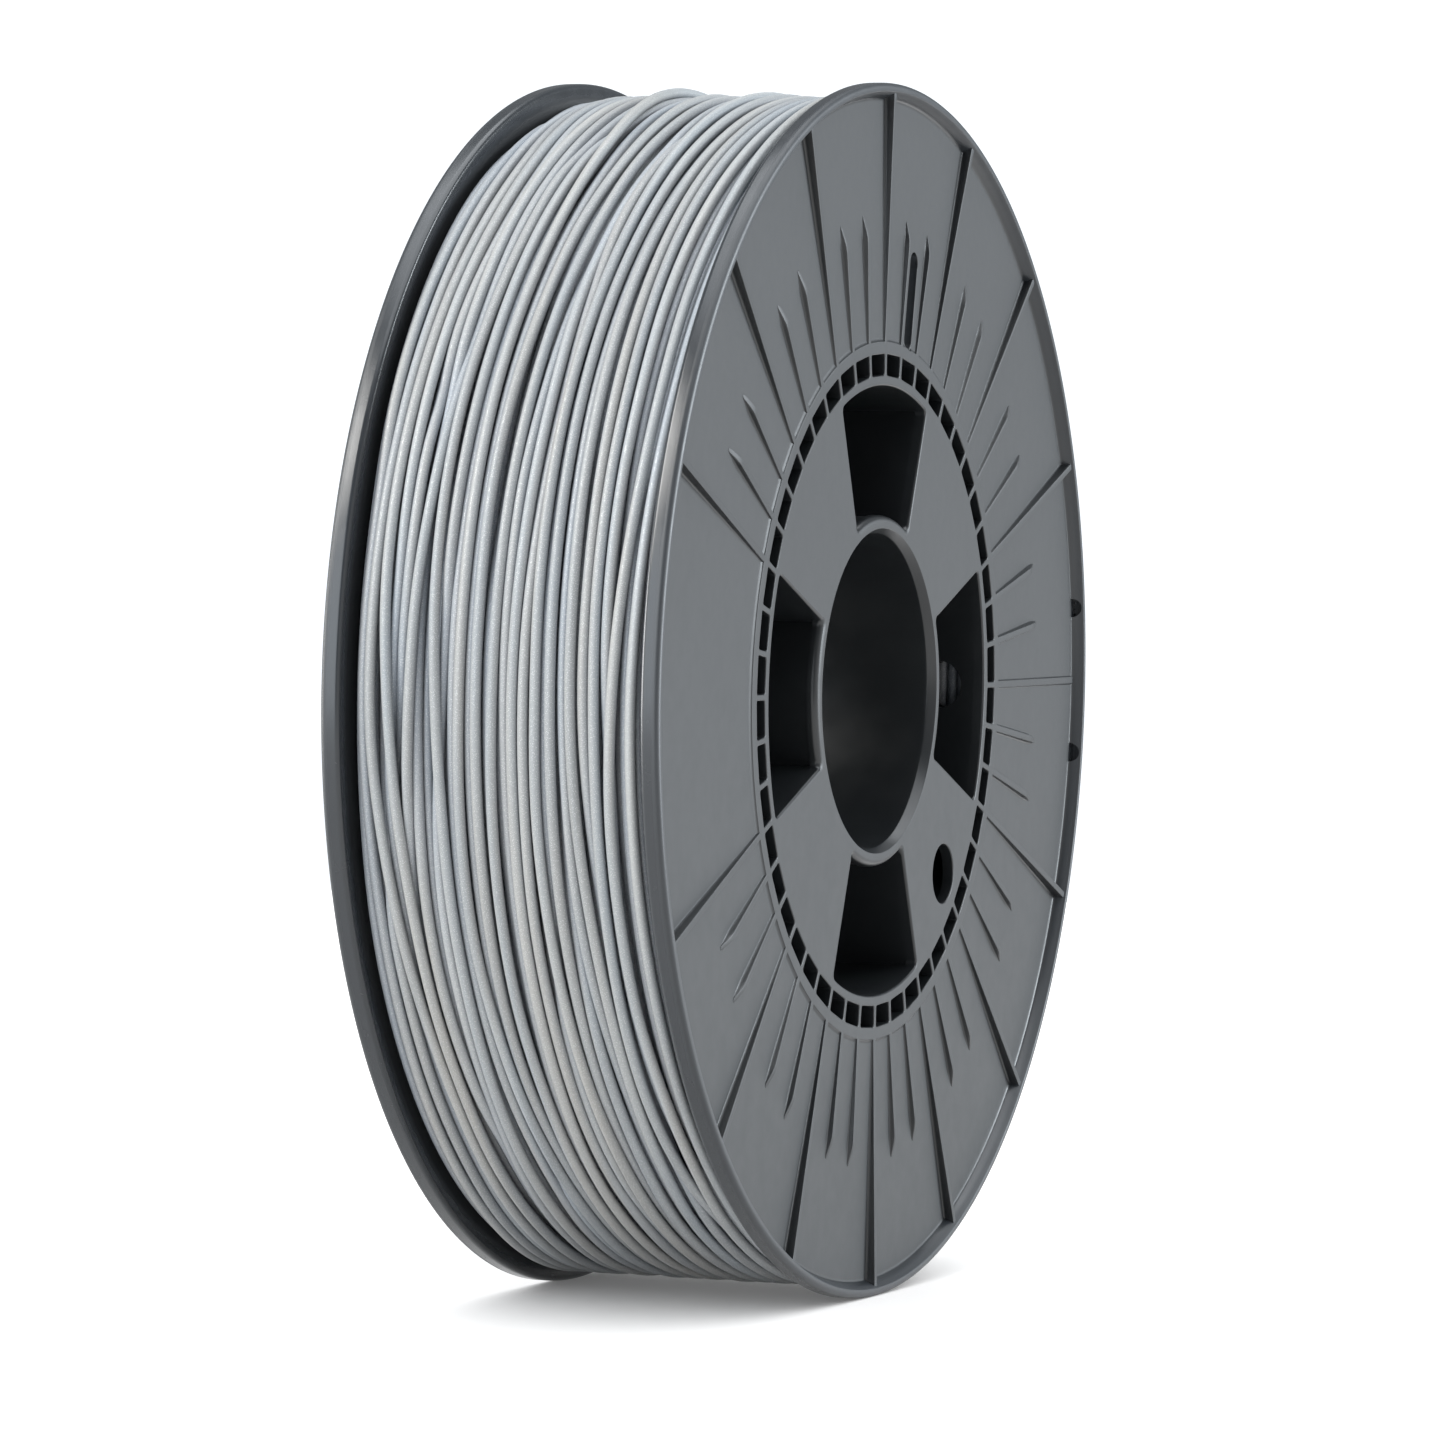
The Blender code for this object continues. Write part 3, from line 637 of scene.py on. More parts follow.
# The outer turns where the photo shows them, from the far flange to the near one. Each knot is an angle
# above the level line in front, a place along the axis and a height over the
# nominal layer, in degrees and millimetres.
TURNS = (
    ((95, -23.6, -1.6), (70, -22.3, -1.4), (60, -21.9, -0.9), (50, -22, -0.3), (40, -22.4, 0),
     (30, -22.7, 0), (20, -22.4, -0.3), (0, -22.6, -1), (-20, -21.7, -0.9), (-40, -21.2, 0),
     (-60, -21.2, 0), (-95, -22.6, -0.2)),
    ((95, -21.9, -1.3), (70, -20.7, -1.1), (60, -20, -0.6), (50, -20, -0.1), (40, -20.3, -0.1),
     (30, -20.75, -0.3), (20, -20.95, -0.2), (10, -21.1, 0), (0, -21.1, 0.1), (-5, -20.8, 0.2),
     (-10, -20, 0.3), (-20, -18.6, 0.3), (-30, -17.15, 0.2), (-40, -16, 0.1), (-50, -15.85, 0),
     (-60, -15.95, 0), (-95, -16.5, -0.2)),
    ((95, -20.1, -0.9), (70, -18.7, -0.7), (60, -17.6, -0.4), (50, -17.9, -0.1), (40, -18.6, 0),
     (30, -19, 0.1), (20, -19.3, 0.3), (10, -19.15, 0.35), (0, -17.95, 0.4), (-10, -16.85, 0.4),
     (-20, -15.6, 0.4), (-30, -15, 0.3), (-40, -14.15, 0.1), (-50, -14, 0), (-60, -13.5, 0),
     (-95, -13.9, -0.2)),
    ((95, -18.2, -0.5), (70, -16.8, -0.3), (60, -15.9, -0.1), (50, -16.05, 0.05), (40, -16.75, 0.1),
     (30, -17.15, 0.1), (20, -17.3, 0), (10, -17.2, -0.3), (0, -17.9, -1), (-10, -18.4, -1),
     (-20, -17.6, -1.1), (-30, -18.2, -1.1), (-40, -17.8, -0.4), (-50, -17.5, -0.4), (-60, -17.7, -0.7),
     (-95, -18.4, -0.2)),
    ((95, -16.4, -0.4), (70, -15, -0.5), (60, -14.55, -0.7), (50, -14.7, -0.6), (40, -15.05, -0.3),
     (30, -15.35, -0.1), (20, -15.4, -0.05), (10, -15.6, -0.25), (2, -15.9, -0.8), (-8, -17.8, -1.5),
     (-15, -19.5, -1.5), (-20, -20.1, -0.7), (-30, -19.25, -0.1), (-40, -19.1, -0.1), (-50, -18.85, -0.1),
     (-60, -19.3, -0.2), (-95, -20.3, -0.2)),
    ((95, -14.7, -0.4), (70, -13.2, -0.3), (60, -13.1, -0.2), (50, -13.25, -0.1), (40, -13.3, 0),
     (30, -13.6, 0), (20, -13.75, -0.2), (10, -13.6, -0.9), (0, -13.5, -1.2), (-10, -13.5, -0.6),
     (-20, -13.5, -0.1), (-30, -12.95, 0), (-40, -12, -0.2), (-50, -11.5, -0.5), (-60, -11.6, -0.8),
     (-95, -12.2, -0.2)),
    ((95, -12.9, -0.3), (70, -11.5, -0.4), (60, -11.5, -0.3), (50, -11.5, -0.2), (40, -11.8, -0.1),
     (30, -12.45, 0), (20, -12.95, 0.15), (10, -13.9, 0.2), (0, -14.25, 0.2), (-5, -14.7, 0.15),
     (-10, -15.05, 0), (-14, -15.3, -0.3), (-20, -16, -1.2), (-40, -15.1, -1.3), (-60, -14.8, -1.3),
     (-95, -15.2, -1)),
    ((95, -11.1, -0.5), (70, -9.9, -0.5), (60, -9.8, -0.3), (50, -9.65, -0.1), (40, -10.2, 0),
     (30, -10.95, 0.1), (20, -11.05, 0.2), (10, -10.8, 0.2), (0, -9.85, 0.2), (-10, -9.2, 0.1),
     (-20, -9.1, 0.05), (-30, -8.8, 0), (-40, -8.7, 0), (-50, -8.6, 0), (-60, -8.3, 0), (-95, -8.8, -0.2)),
    ((110, -9.3, 0.3), (100, -9.4, 0.8), (90, -8.8, 0.9), (80, -7.5, 0.85), (75, -6.7, 0.75),
     (70, -5.85, 0.6), (65, -5.2, 0.5), (60, -5, 0.3), (50, -5, 0.15), (40, -5.35, 0.1), (30, -5.85, 0.1),
     (20, -5.95, 0.1), (10, -5.9, 0), (0, -5.95, 0), (-10, -6.25, 0), (-20, -6.25, 0.05), (-25, -6, 0.1),
     (-30, -5.3, 0.15), (-40, -4.35, 0.2), (-50, -3.25, 0.15), (-60, -2.5, 0.1), (-95, -3, -0.2)),
    ((95, -9.2, -1.1), (80, -8.5, -1.2), (70, -8, -1.1), (60, -7.7, -0.4), (50, -7.75, 0), (40, -8.15, 0),
     (30, -8.5, 0), (20, -8.75, 0), (10, -8.9, -0.2), (0, -9.2, -1), (-8, -10.2, -1.3), (-12, -10.6, -0.9),
     (-20, -10.8, -0.5), (-30, -10.5, -0.15), (-40, -10.3, -0.2), (-50, -10.2, -0.5), (-95, -10.5, -0.2)),
    ((95, -7.4, -0.6), (80, -6.8, -0.8), (60, -6.6, -1), (45, -6.9, -1.1), (30, -7.2, -0.7),
     (20, -7.35, -0.35), (10, -7.35, -0.3), (0, -7.35, -0.3), (-10, -7.6, -0.5), (-20, -7.6, -0.7),
     (-30, -6.95, -0.5), (-40, -6.35, -0.3), (-50, -5.6, -0.5), (-60, -6.2, -0.9), (-95, -6.7, -0.2)),
    ((95, -5.6, -0.6), (75, -4.3, -1.1), (60, -3.2, -1.3), (50, -3.3, -1.2), (40, -3.6, -1.1),
     (30, -4.2, -1.1), (20, -4.5, -1.2), (10, -4.5, -0.9), (0, -4.5, -0.8), (-10, -4.55, -0.7),
     (-20, -4.5, -0.7), (-30, -4.6, -1.2), (-40, -4.9, -1.4), (-50, -4.9, -1), (-60, -4.1, -0.3),
     (-95, -4.7, -0.2)),
    ((95, -2.4, -0.2), (80, -1.1, -0.1), (70, -0.2, 0), (60, -0.05, 0.15), (55, -0.55, 0.1),
     (50, -1.1, 0.1), (40, -1.8, 0.1), (30, -2.75, 0.1), (20, -3.25, 0.05), (10, -3.1, 0), (-20, -3.15, 0),
     (-30, -3.1, 0), (-40, -2.5, -0.1), (-50, -1.5, -0.5), (-60, -1, -0.8), (-95, -1.2, -0.2)),
    ((95, 0.4, -0.4), (80, 1.6, -0.5), (70, 2.3, -0.4), (60, 2.1, -0.05), (50, 1.9, 0), (40, 0.95, 0.05),
     (30, 0.4, 0.05), (20, -0.05, 0), (10, -0.2, 0), (0, -0.4, 0), (-10, -0.75, 0), (-20, -0.9, 0),
     (-30, -0.8, 0), (-40, -0.1, 0), (-50, 0.2, 0), (-60, 0.6, 0), (-95, 0.6, -0.2)),
    ((95, 2.4, -0.6), (70, 3.4, -1.1), (50, 2.9, -1.2), (40, 2.6, -0.9), (30, 2.45, -0.5), (20, 1.7, -0.15),
     (10, 1.45, -0.1), (0, 1.4, -0.1), (-10, 1.5, -0.1), (-20, 1.45, -0.25), (-30, 1.5, -0.35),
     (-40, 1.5, -0.6), (-50, 1.6, -1.2), (-60, 2, -1.4), (-95, 2.4, -0.2)),
    ((95, 4.2, -0.6), (70, 4.6, -1), (60, 4.2, -0.8), (50, 3.85, -0.4), (40, 3.9, -0.05), (30, 4.1, 0.1),
     (20, 3.6, 0.05), (10, 3.2, 0.05), (0, 2.95, 0), (-10, 2.95, 0), (-20, 2.75, 0.05), (-30, 2.8, 0.05),
     (-40, 2.9, 0.1), (-50, 2.75, 0.1), (-60, 3.1, 0.05), (-95, 4.1, -0.2)),
    ((95, 5.9, -0.7), (70, 6.2, -1.1), (66, 6, -0.9), (60, 5.7, -0.3), (50, 5.4, -0.1), (40, 5.45, -0.3),
     (35, 5.6, -0.6), (30, 5.6, -1), (20, 5.3, -0.6), (10, 5, -0.2), (0, 4.8, -0.1), (-10, 4.75, -0.1),
     (-20, 4.55, -0.2), (-30, 4.7, -0.2), (-40, 4.85, -0.15), (-50, 5.2, -0.1), (-60, 5.9, -0.3),
     (-95, 5.9, -0.2)),
    ((95, 7.6, 0.1), (80, 7.7, 0.2), (70, 7.75, 0.25), (60, 7.7, 0.15), (50, 7.5, 0.1), (40, 7.15, 0.15),
     (30, 6.7, 0.2), (20, 6.65, 0.15), (10, 6.7, 0.1), (0, 6.95, 0.05), (-10, 6.65, 0.05), (-20, 7.05, 0.1),
     (-30, 7.6, 0.15), (-40, 8.2, 0.2), (-50, 8.95, 0.25), (-60, 9.2, 0.2), (-95, 9.5, -0.2)),
    ((95, 9, -0.9), (70, 9.1, -1.2), (50, 8.9, -1.3), (30, 7.9, -1.3), (10, 7.9, -1.3), (0, 7.9, -1.2),
     (-10, 8, -0.9), (-20, 7.6, -1.2), (-25, 6.9, -1.4), (-30, 6.15, -0.6), (-40, 6.5, -0.3),
     (-50, 7.15, -0.3), (-60, 7.4, -0.5), (-95, 7.7, -0.2)),
    ((95, 10.6, -0.2), (80, 10.5, -0.2), (70, 10.4, -0.2), (60, 10.15, 0), (50, 9.8, -0.05),
     (40, 9.2, -0.05), (30, 8.95, 0), (20, 8.95, 0), (10, 9.1, 0), (0, 9.35, 0), (-10, 9.4, 0),
     (-20, 9.45, 0), (-30, 9.7, -0.05), (-40, 9.9, -0.3), (-50, 10.1, -1), (-60, 10.6, -1.2),
     (-95, 11.2, -0.2)),
    ((95, 12.1, -0.9), (70, 11.2, -1.3), (50, 10.2, -1.5), (30, 9.6, -1.5), (10, 10.1, -1.4),
     (0, 10.6, -1.1), (-10, 10.8, -0.9), (-20, 11.1, -0.6), (-30, 11.5, -0.15), (-40, 11.95, -0.05),
     (-50, 12.4, 0), (-60, 12.2, 0), (-95, 12.9, -0.2)),
    ((95, 13.2, -0.9), (70, 12.3, -1.1), (60, 11.7, -1.1), (50, 11.2, -1.1), (40, 10.8, -1.1),
     (30, 10.6, -0.7), (20, 10.7, -0.3), (10, 10.95, -0.3), (0, 11.2, -0.4), (-10, 11.7, -0.3),
     (-20, 12.4, -0.1), (-30, 13.3, -0.05), (-40, 13.85, -0.1), (-50, 14.2, -0.6), (-60, 13.9, -1.2),
     (-95, 14.5, -0.2)),
    ((95, 14.2, -0.5), (80, 13.6, -0.5), (70, 13.4, -0.4), (60, 12.95, -0.1), (50, 12.5, 0), (40, 12.05, 0),
     (30, 12.1, 0.05), (20, 12.1, 0.05), (10, 12.45, 0.05), (0, 12.7, 0.1), (-10, 13.25, 0.15),
     (-20, 14.3, 0.15), (-30, 15, 0.1), (-40, 15.3, 0.1), (-50, 15.5, 0.1), (-60, 15.1, 0.05),
     (-95, 16.1, -0.2)),
    ((95, 15.9, -0.6), (80, 15.6, -0.7), (70, 15.6, -0.5), (60, 15.2, -0.1), (50, 14.75, -0.05),
     (40, 14.55, 0), (30, 14.5, 0), (20, 14.55, -0.1), (10, 14.6, -0.1), (0, 14.8, -0.1),
     (-10, 15.25, -0.2), (-15, 15.6, -0.5), (-20, 16, -1.1), (-30, 16.4, -1.4), (-40, 16.6, -1.3),
     (-50, 17.2, -0.8), (-60, 17.7, -0.2), (-95, 17.9, -0.2)),
    ((95, 17.7, -0.6), (80, 17.4, -0.7), (70, 17.4, -0.5), (60, 17, -0.1), (50, 16.55, 0), (40, 16.4, 0),
     (30, 16.5, 0), (20, 16.3, 0), (10, 16.3, 0), (0, 16.65, 0), (-10, 16.85, 0), (-20, 16.9, 0.05),
     (-30, 16.85, 0.1), (-40, 17.2, 0.15), (-45, 17.7, 0.1), (-50, 18.3, 0.05), (-55, 19.1, -0.1),
     (-60, 19.7, -0.5), (-70, 19.6, -0.6), (-95, 19.6, -0.2)),
    ((95, 19.5, -0.5), (80, 19.4, -0.6), (70, 19.6, -0.4), (60, 19.4, -0.1), (50, 18.85, 0),
     (40, 18.55, 0.05), (30, 18.65, 0.05), (20, 18.3, 0), (10, 18.3, -0.05), (5, 18.35, -0.2),
     (0, 18.5, -0.6), (-10, 18.9, -1.3), (-20, 18.3, -1.3), (-30, 18.45, -0.7), (-40, 19.2, -0.4),
     (-50, 20.3, -1), (-60, 22.1, -1), (-95, 22.9, -0.3)),
    ((95, 22, 0.1), (80, 22.3, 0.1), (70, 22.5, 0.1), (60, 22.5, 0.1), (50, 22.3, 0.05), (40, 21.95, 0.1),
     (30, 22.1, 0.2), (20, 21.65, 0.3), (10, 20.6, 0.35), (0, 19.7, 0.3), (-10, 19, 0.2), (-20, 19.1, 0.1),
     (-30, 19.35, 0.1), (-40, 20.5, 0.15), (-50, 21.05, 0.1), (-60, 20.8, 0.05), (-95, 21.4, -0.2)),
    ((95, 24.2, -0.8), (70, 24.2, -1), (50, 24.1, -1.2), (30, 23.9, -0.8), (20, 23.6, -0.4),
     (10, 23.2, -0.1), (0, 22.75, 0), (-10, 22.75, 0), (-20, 22.85, 0), (-30, 23.1, 0), (-40, 23.15, 0),
     (-50, 23.4, 0), (-60, 23.7, -0.1), (-95, 24.2, -0.3)),
)

# The winding, in millimetres: the outermost places of a strand's middle, the radius of the outer
# layer's path, and how far the turns under it lie below it
REACH = 24.25
STRAND = 1.75
STRAND_RADIUS = STRAND / 2 * MM
TOP_PATH_RADIUS = 0.0975
UNDER_LEVEL = -1.45
UNDER_TURNS = 27
STATIONS = 180

# The back of the winding: from where it is made up, how far the turns wander there, and how far the
# outer layer's two ends dive under it
SEED = 7
BACK_START = 95
BACK_FADE_IN = 25
BACK_FADE_OUT = 15
WANDER = 0.22
WANDER_KNOTS = 13
LIFT = 0.12
LIFT_KNOTS = 9
UNDER_WANDER = 0.3
CROSSING_LIFT = 0.35
CROSSING_LIFT_MOST = 0.9
END_DEPTH = -1.9
END_STATIONS = 12

# The angles behind at which a turn has left its place below, crosses, and has settled on the top
LEFT_ANGLE = -125
CROSSING_ANGLE = -150
SETTLED_ANGLE = 140
LEFT_LIFT = 0.6

# How far, in stations, the turns' places and heights are smoothed
PLACE_BLUR = 1.6
HEIGHT_BLUR = 1.5
UNDER_PLACE_BLUR = 2.5
UNDER_HEIGHT_BLUR = 2.0

# The first turns on the drum, seen through the start hole, and the plain filament inside
FIRST_TURNS = 7
FIRST_TURNS_START = 11.5
FIRST_TURNS_PITCH = 1.78
CORE_INNER_RADIUS = 0.0588
CORE_OUTER_RADIUS = 0.0935
CORE_HALF_WIDTH = 0.0249

TOP_SIDES = 14
UNDER_SIDES = 8
FIRST_SIDES = 10
STRAND_SHARP = 60


def smooth_noise(rng, knots, size):
    """Smooth random values for a row of stations."""
    values = rng.uniform(-size, size, knots)
    return np.interp(np.linspace(0, knots - 1, STATIONS + 1), np.arange(knots), values)


def blurred(rows, width):
    """Rows of stations, each smoothed along itself with its ends held."""
    reach = int(width * 3)
    kernel = np.exp(-0.5 * (np.arange(-reach, reach + 1) / width) ** 2)
    kernel /= kernel.sum()
    padded = np.pad(rows, ((0, 0), (reach, reach)), mode="reflect", reflect_type="odd")
    return np.array([np.convolve(row, kernel, mode="valid") for row in padded])


def full_turn(rank, low_rank, pitch):
    """A turn's knots all the way round. Behind, it moves on by one place to meet the next turn."""
    start, end = rank - 0.5, rank + 0.5
    lift = float(np.clip(CROSSING_LIFT * (low_rank - rank), -CROSSING_LIFT_MOST, CROSSING_LIFT_MOST))
    knots = [(180, -REACH + start * pitch, 0.0), (SETTLED_ANGLE, -REACH + rank * pitch, 0.0)]
    knots += TURNS[rank]
    knots.append((LEFT_ANGLE, -REACH + low_rank * pitch, lift * LEFT_LIFT))
    knots.append((CROSSING_ANGLE, -REACH + (low_rank + end) / 2 * pitch, lift))
    knots.append((-180, -REACH + end * pitch, 0.0))
    return knots


def top_turns(angles):
    """Place along the axis and height of every turn at each station, from the back over the top,
    down the front and round below to the back again."""
    rng = np.random.default_rng(SEED)
    ranks = range(len(TURNS))
    by_bottom = sorted(ranks, key=lambda rank: TURNS[rank][-1][1])
    pitch = 2 * REACH / (len(TURNS) - 1)
    back = np.clip((np.abs(angles) - BACK_START) / BACK_FADE_IN, 0, 1)
    back = back * np.clip((180 - np.abs(angles)) / BACK_FADE_OUT, 0, 1)
    places, heights = [], []
    for rank in ranks:
        knots = full_turn(rank, by_bottom.index(rank), pitch)
        at, where, height = (np.array(column, float) for column in zip(*knots))
        order = np.argsort(at)
        place = np.interp(angles, at[order], where[order])
        level = np.interp(angles, at[order], height[order])
        place += back * smooth_noise(rng, WANDER_KNOTS, WANDER)
        level += back * smooth_noise(rng, LIFT_KNOTS, LIFT)
        places.append(np.clip(place, -REACH, REACH))
        heights.append(level)
    places, heights = np.array(places), np.array(heights)
    heights[0, :END_STATIONS] = np.linspace(END_DEPTH, heights[0, END_STATIONS], END_STATIONS)
    heights[-1, -END_STATIONS:] = np.linspace(heights[-1, -END_STATIONS], END_DEPTH, END_STATIONS)
    return blurred(places, PLACE_BLUR), blurred(heights, PLACE_BLUR)


def under_turns():
    """Places of the turns that show between the outer ones."""
    rng = np.random.default_rng(SEED + 1)
    pitch = 2 * REACH / UNDER_TURNS
    way = np.linspace(0, 1, STATIONS + 1)
    places = []
    for turn in range(UNDER_TURNS):
        wobble = smooth_noise(rng, WANDER_KNOTS, UNDER_WANDER) * np.sin(pi * way)
        places.append(np.clip(-REACH + (turn + way) * pitch + wobble, -REACH, REACH))
    return blurred(np.array(places), UNDER_PLACE_BLUR)


def first_turns():
    ends = [FIRST_TURNS_START + turn * FIRST_TURNS_PITCH for turn in range(FIRST_TURNS + 1)]
    return np.array([np.linspace(start, end, STATIONS + 1) for start, end in zip(ends, ends[1:])])


def settled(places, heights):
    """Heights at which no strand lies in another: a lower one is pushed further down."""
    heights = heights.copy()
    for station in range(heights.shape[1]):
        where, height = places[:, station], heights[:, station]
        done = []
        for k in np.argsort(-height):
            limit = height[k]
            for other in done:
                gap = abs(where[k] - where[other])
                if gap < STRAND:
                    limit = min(limit, height[other] - sqrt(STRAND**2 - gap**2))
            height[k] = limit
            done.append(k)
        heights[:, station] = height
    return heights


def followed(rows):
    """Rows of turns as one row, in which each turn's end is the next one's start."""
    return np.concatenate([row[:-1] for row in rows] + [rows[-1][-1:]])


def tube(angles, places, heights, base, sides):
    """One strand through rows of stations, each row one turn, which follow on from each other."""
    along = followed(places) * MM
    radius = base + followed(heights) * MM
    turn = np.radians(followed([angles] * len(places)))
    out = np.stack([np.zeros_like(turn), -np.cos(turn), np.sin(turn)], 1)
    axis = np.array([1.0, 0.0, 0.0])
    middle = out * radius[:, None] + axis * along[:, None]
    lines = [middle + (out * cos(a) + axis * sin(a)) * STRAND_RADIUS for a in all_round(sides)]
    rings = np.stack(lines, 1) + (0, 0, FLANGE_RADIUS)
    return solid_mesh(*loft(rings))


def core_mesh():
    """The plain filament inside, as a ring about the moulding's own axis."""
    inner, outer, half = CORE_INNER_RADIUS, CORE_OUTER_RADIUS, CORE_HALF_WIDTH
    return lathe([(inner, half), (inner, -half), (outer, -half), (outer, half)], CORE_STEPS)


def wind_filament(material):
    angles = np.linspace(180, -180, STATIONS + 1)
    top_places, top_heights = top_turns(angles)
    under_places = under_turns()
    places = np.vstack([top_places, under_places])
    heights = np.vstack([top_heights, np.full_like(under_places, UNDER_LEVEL)])
    heights = settled(places, heights)
    count = len(top_places)
    top = blurred(heights[:count], HEIGHT_BLUR)
    under = blurred(heights[count:], UNDER_HEIGHT_BLUR)
    first_places = first_turns()
    first = np.zeros_like(first_places)
    first_path = DRUM_RADIUS + STRAND_RADIUS
    outer, inner = ["filament_outer_layer"], ["filament_inner_layers"]
    for name, nodes, strand in (
        ("filament_top_turns", outer, (top_places, top, TOP_PATH_RADIUS, TOP_SIDES)),
        ("filament_under_turns", inner, (under_places, under, TOP_PATH_RADIUS, UNDER_SIDES)),
        ("filament_first_turns", [], (first_places, first, first_path, FIRST_SIDES)),
    ):
        mesh = tube(angles, *strand)
        piece(name, mesh, Matrix.Identity(4), material, nodes, STRAND_SHARP)
        bpy.data.meshes.remove(mesh)
    core = core_mesh()
    piece("filament_core", core, NEAR, material, inner)
    bpy.data.meshes.remove(core)


# ----- materials

# The plastic: its faces and the lip's top are grained, its walls smoother, and its rims painted lighter and
# bluer, a painted reflection.
# Bands are over the distance from the axis, over the distance from the middle plane, or over how
# squarely a face looks along the axis. Waves and grain are bumps, by distance and strength.
DISC_END = (0.0970, 0.0976)
FACE_BAND = (0.80, 0.94)
LIP_TOP_BAND = (0.0272, 0.0279)
RIM_PAINTED_SHEEN_BAND = (0.0972, 0.0980)
RIM_POLISH_BAND = (0.0978, 0.0986)
PLASTIC_TONES = ((0.0078, 0.0090, 0.0101), (0.0095, 0.0108, 0.0119))
# Painted reflection: the rims' lighter, bluer tone stands in for the surround that they reflect.
RIM_PAINTED_SHEEN = (0.0155, 0.0180, 0.0210)
WALL_ROUGHNESS = 0.31
FACE_ROUGHNESS = 0.57
RIM_POLISH = 0.8
WEAR = 0.03
PLASTIC_WAVES = (0.00003, 0.08)
PLASTIC_GRAIN = (0.00001, 0.3)
PLASTIC_IOR = 1.5

# The filament: a slow change of tone along and between strands, a painted shade that makes strands cooler
# where they lie deeper and warmer where they lie on top, warmer and cooler ones side by side, and fine
# bright flecks. Its roughness and metal are given off the flecks and on them.
TONE_STRETCH = (420, 9, 9)
FILAMENT_TONES = ((0.207, 0.217, 0.227), (0.276, 0.286, 0.294))
# Painted light and shade: strands that lie deeper are tinted cooler, as in shade, and outer ones warmer, as
# where the key light falls.
DEPTH_SHADE_BAND = (0.0968, 0.0984)
DEPTH_SHADE_TINTS = ((0.955, 0.985, 1.035), (1.0, 0.998, 0.975))
WARMTH_STRETCH = (310, 11, 11)
STRAND_TINTS = ((0.955, 0.990, 1.025), (1.055, 1.0, 0.945))
FLECK_SCALE = 4200.0
FLECK_BAND = (0.10, 0.34)
FLECK_TONE = (0.66, 0.66, 0.65)
FLECK_SHARE = 0.55
FILAMENT_ROUGHNESS = (0.56, 0.32)
FILAMENT_METAL = (0.10, 0.65)
FILAMENT_GRAIN = (0.000014, 0.7)
FILAMENT_IOR = 1.46

FLOOR_TONES = ((0.90, 0.90, 0.90), (0.92, 0.92, 0.92))
FLOOR_ROUGHNESS = 0.9
FLOOR_SHINE = 0.2
FLOOR_GLOW = 0.09
EVERYWHERE = (1, 1, 1)


class Nodes:
    """A material's node tree, with short ways to add to it."""

    def __init__(self, name):
        self.material = bpy.data.materials.new(name)
        self.material.use_nodes = True
        self.tree = self.material.node_tree
        self.shader = self.tree.nodes["Principled BSDF"]

    def put(self, value, target):
        """A number, a vector, a colour or a node's output, into an input."""
        if isinstance(value, bpy.types.NodeSocket):
            self.tree.links.new(value, target)
        elif target.type == "RGBA":
            target.default_value = (*value, 1)
        else:
            target.default_value = value

    def feed(self, name, value):
        self.put(value, self.shader.inputs[name])

    def add(self, kind, **settings):
        """A node with these values in its inputs, or in its other settings."""
        node = self.tree.nodes.new(kind)
        for key, value in settings.items():
            if key in node.inputs:
                self.put(value, node.inputs[key])
            else:
                setattr(node, key, value)
        return node

    def operate(self, kind, operation, *values):
        node = self.add(kind, operation=operation)
        for value, target in zip(values, node.inputs):
            self.put(value, target)
        return node.outputs

    def maths(self, operation, *values):
        return self.operate("ShaderNodeMath", operation, *values)["Value"]

    def coordinates(self, scale):
        source = self.add("ShaderNodeTexCoord").outputs["Object"]
        return self.add("ShaderNodeMapping", Vector=source, Scale=scale).outputs["Vector"]

    def noise(self, scale, detail, stretch=EVERYWHERE):
        where = self.coordinates(stretch)
        return self.add("ShaderNodeTexNoise", Vector=where, Scale=scale, Detail=detail).outputs["Fac"]

    def spread(self, source, low, high, start=0.3, end=0.7):
        """Low to high as the source goes from start to end, which suit a noise."""
        values = {"Value": source, "From Min": start, "From Max": end, "To Min": low, "To Max": high}
        return self.add("ShaderNodeMapRange", **values).outputs["Result"]

    def mix(self, factor, first, second, blend="MIX"):
        node = self.add("ShaderNodeMix", data_type="RGBA", blend_type=blend, Factor=factor)
        colours = [socket for socket in node.inputs if socket.type == "RGBA"]
        for value, target in zip((first, second), colours):
            self.put(value, target)
        return [socket for socket in node.outputs if socket.type == "RGBA"][0]

    def tinted(self, tone, tint):
        return self.mix(1.0, tone, tint, "MULTIPLY")

    def along_axis(self, vector):
        """The size of a vector's part along the spool's axis."""
        apart = self.add("ShaderNodeSeparateXYZ", Vector=vector)
        return self.maths("ABSOLUTE", apart.outputs["X"])

    def place_on_spool(self):
        """Distance from the spool's middle plane, and distance from its axis."""
        kind = "ShaderNodeVectorMath"
        centre = (0, 0, FLANGE_RADIUS)
        place = self.operate(kind, "SUBTRACT", self.coordinates(EVERYWHERE), centre)["Vector"]
        across = self.operate(kind, "MULTIPLY", place, (0, 1, 1))["Vector"]
        return self.along_axis(place), self.operate(kind, "LENGTH", across)["Value"]

    def facing_along_axis(self):
        """1 on faces square to the spool's axis, 0 on walls along it."""
        return self.along_axis(self.add("ShaderNodeTexCoord").outputs["Normal"])

    def bump(self, source, distance, strength, **normal):
        node = self.add("ShaderNodeBump", Height=source, Distance=distance, Strength=strength, **normal)
        return node.outputs["Normal"]


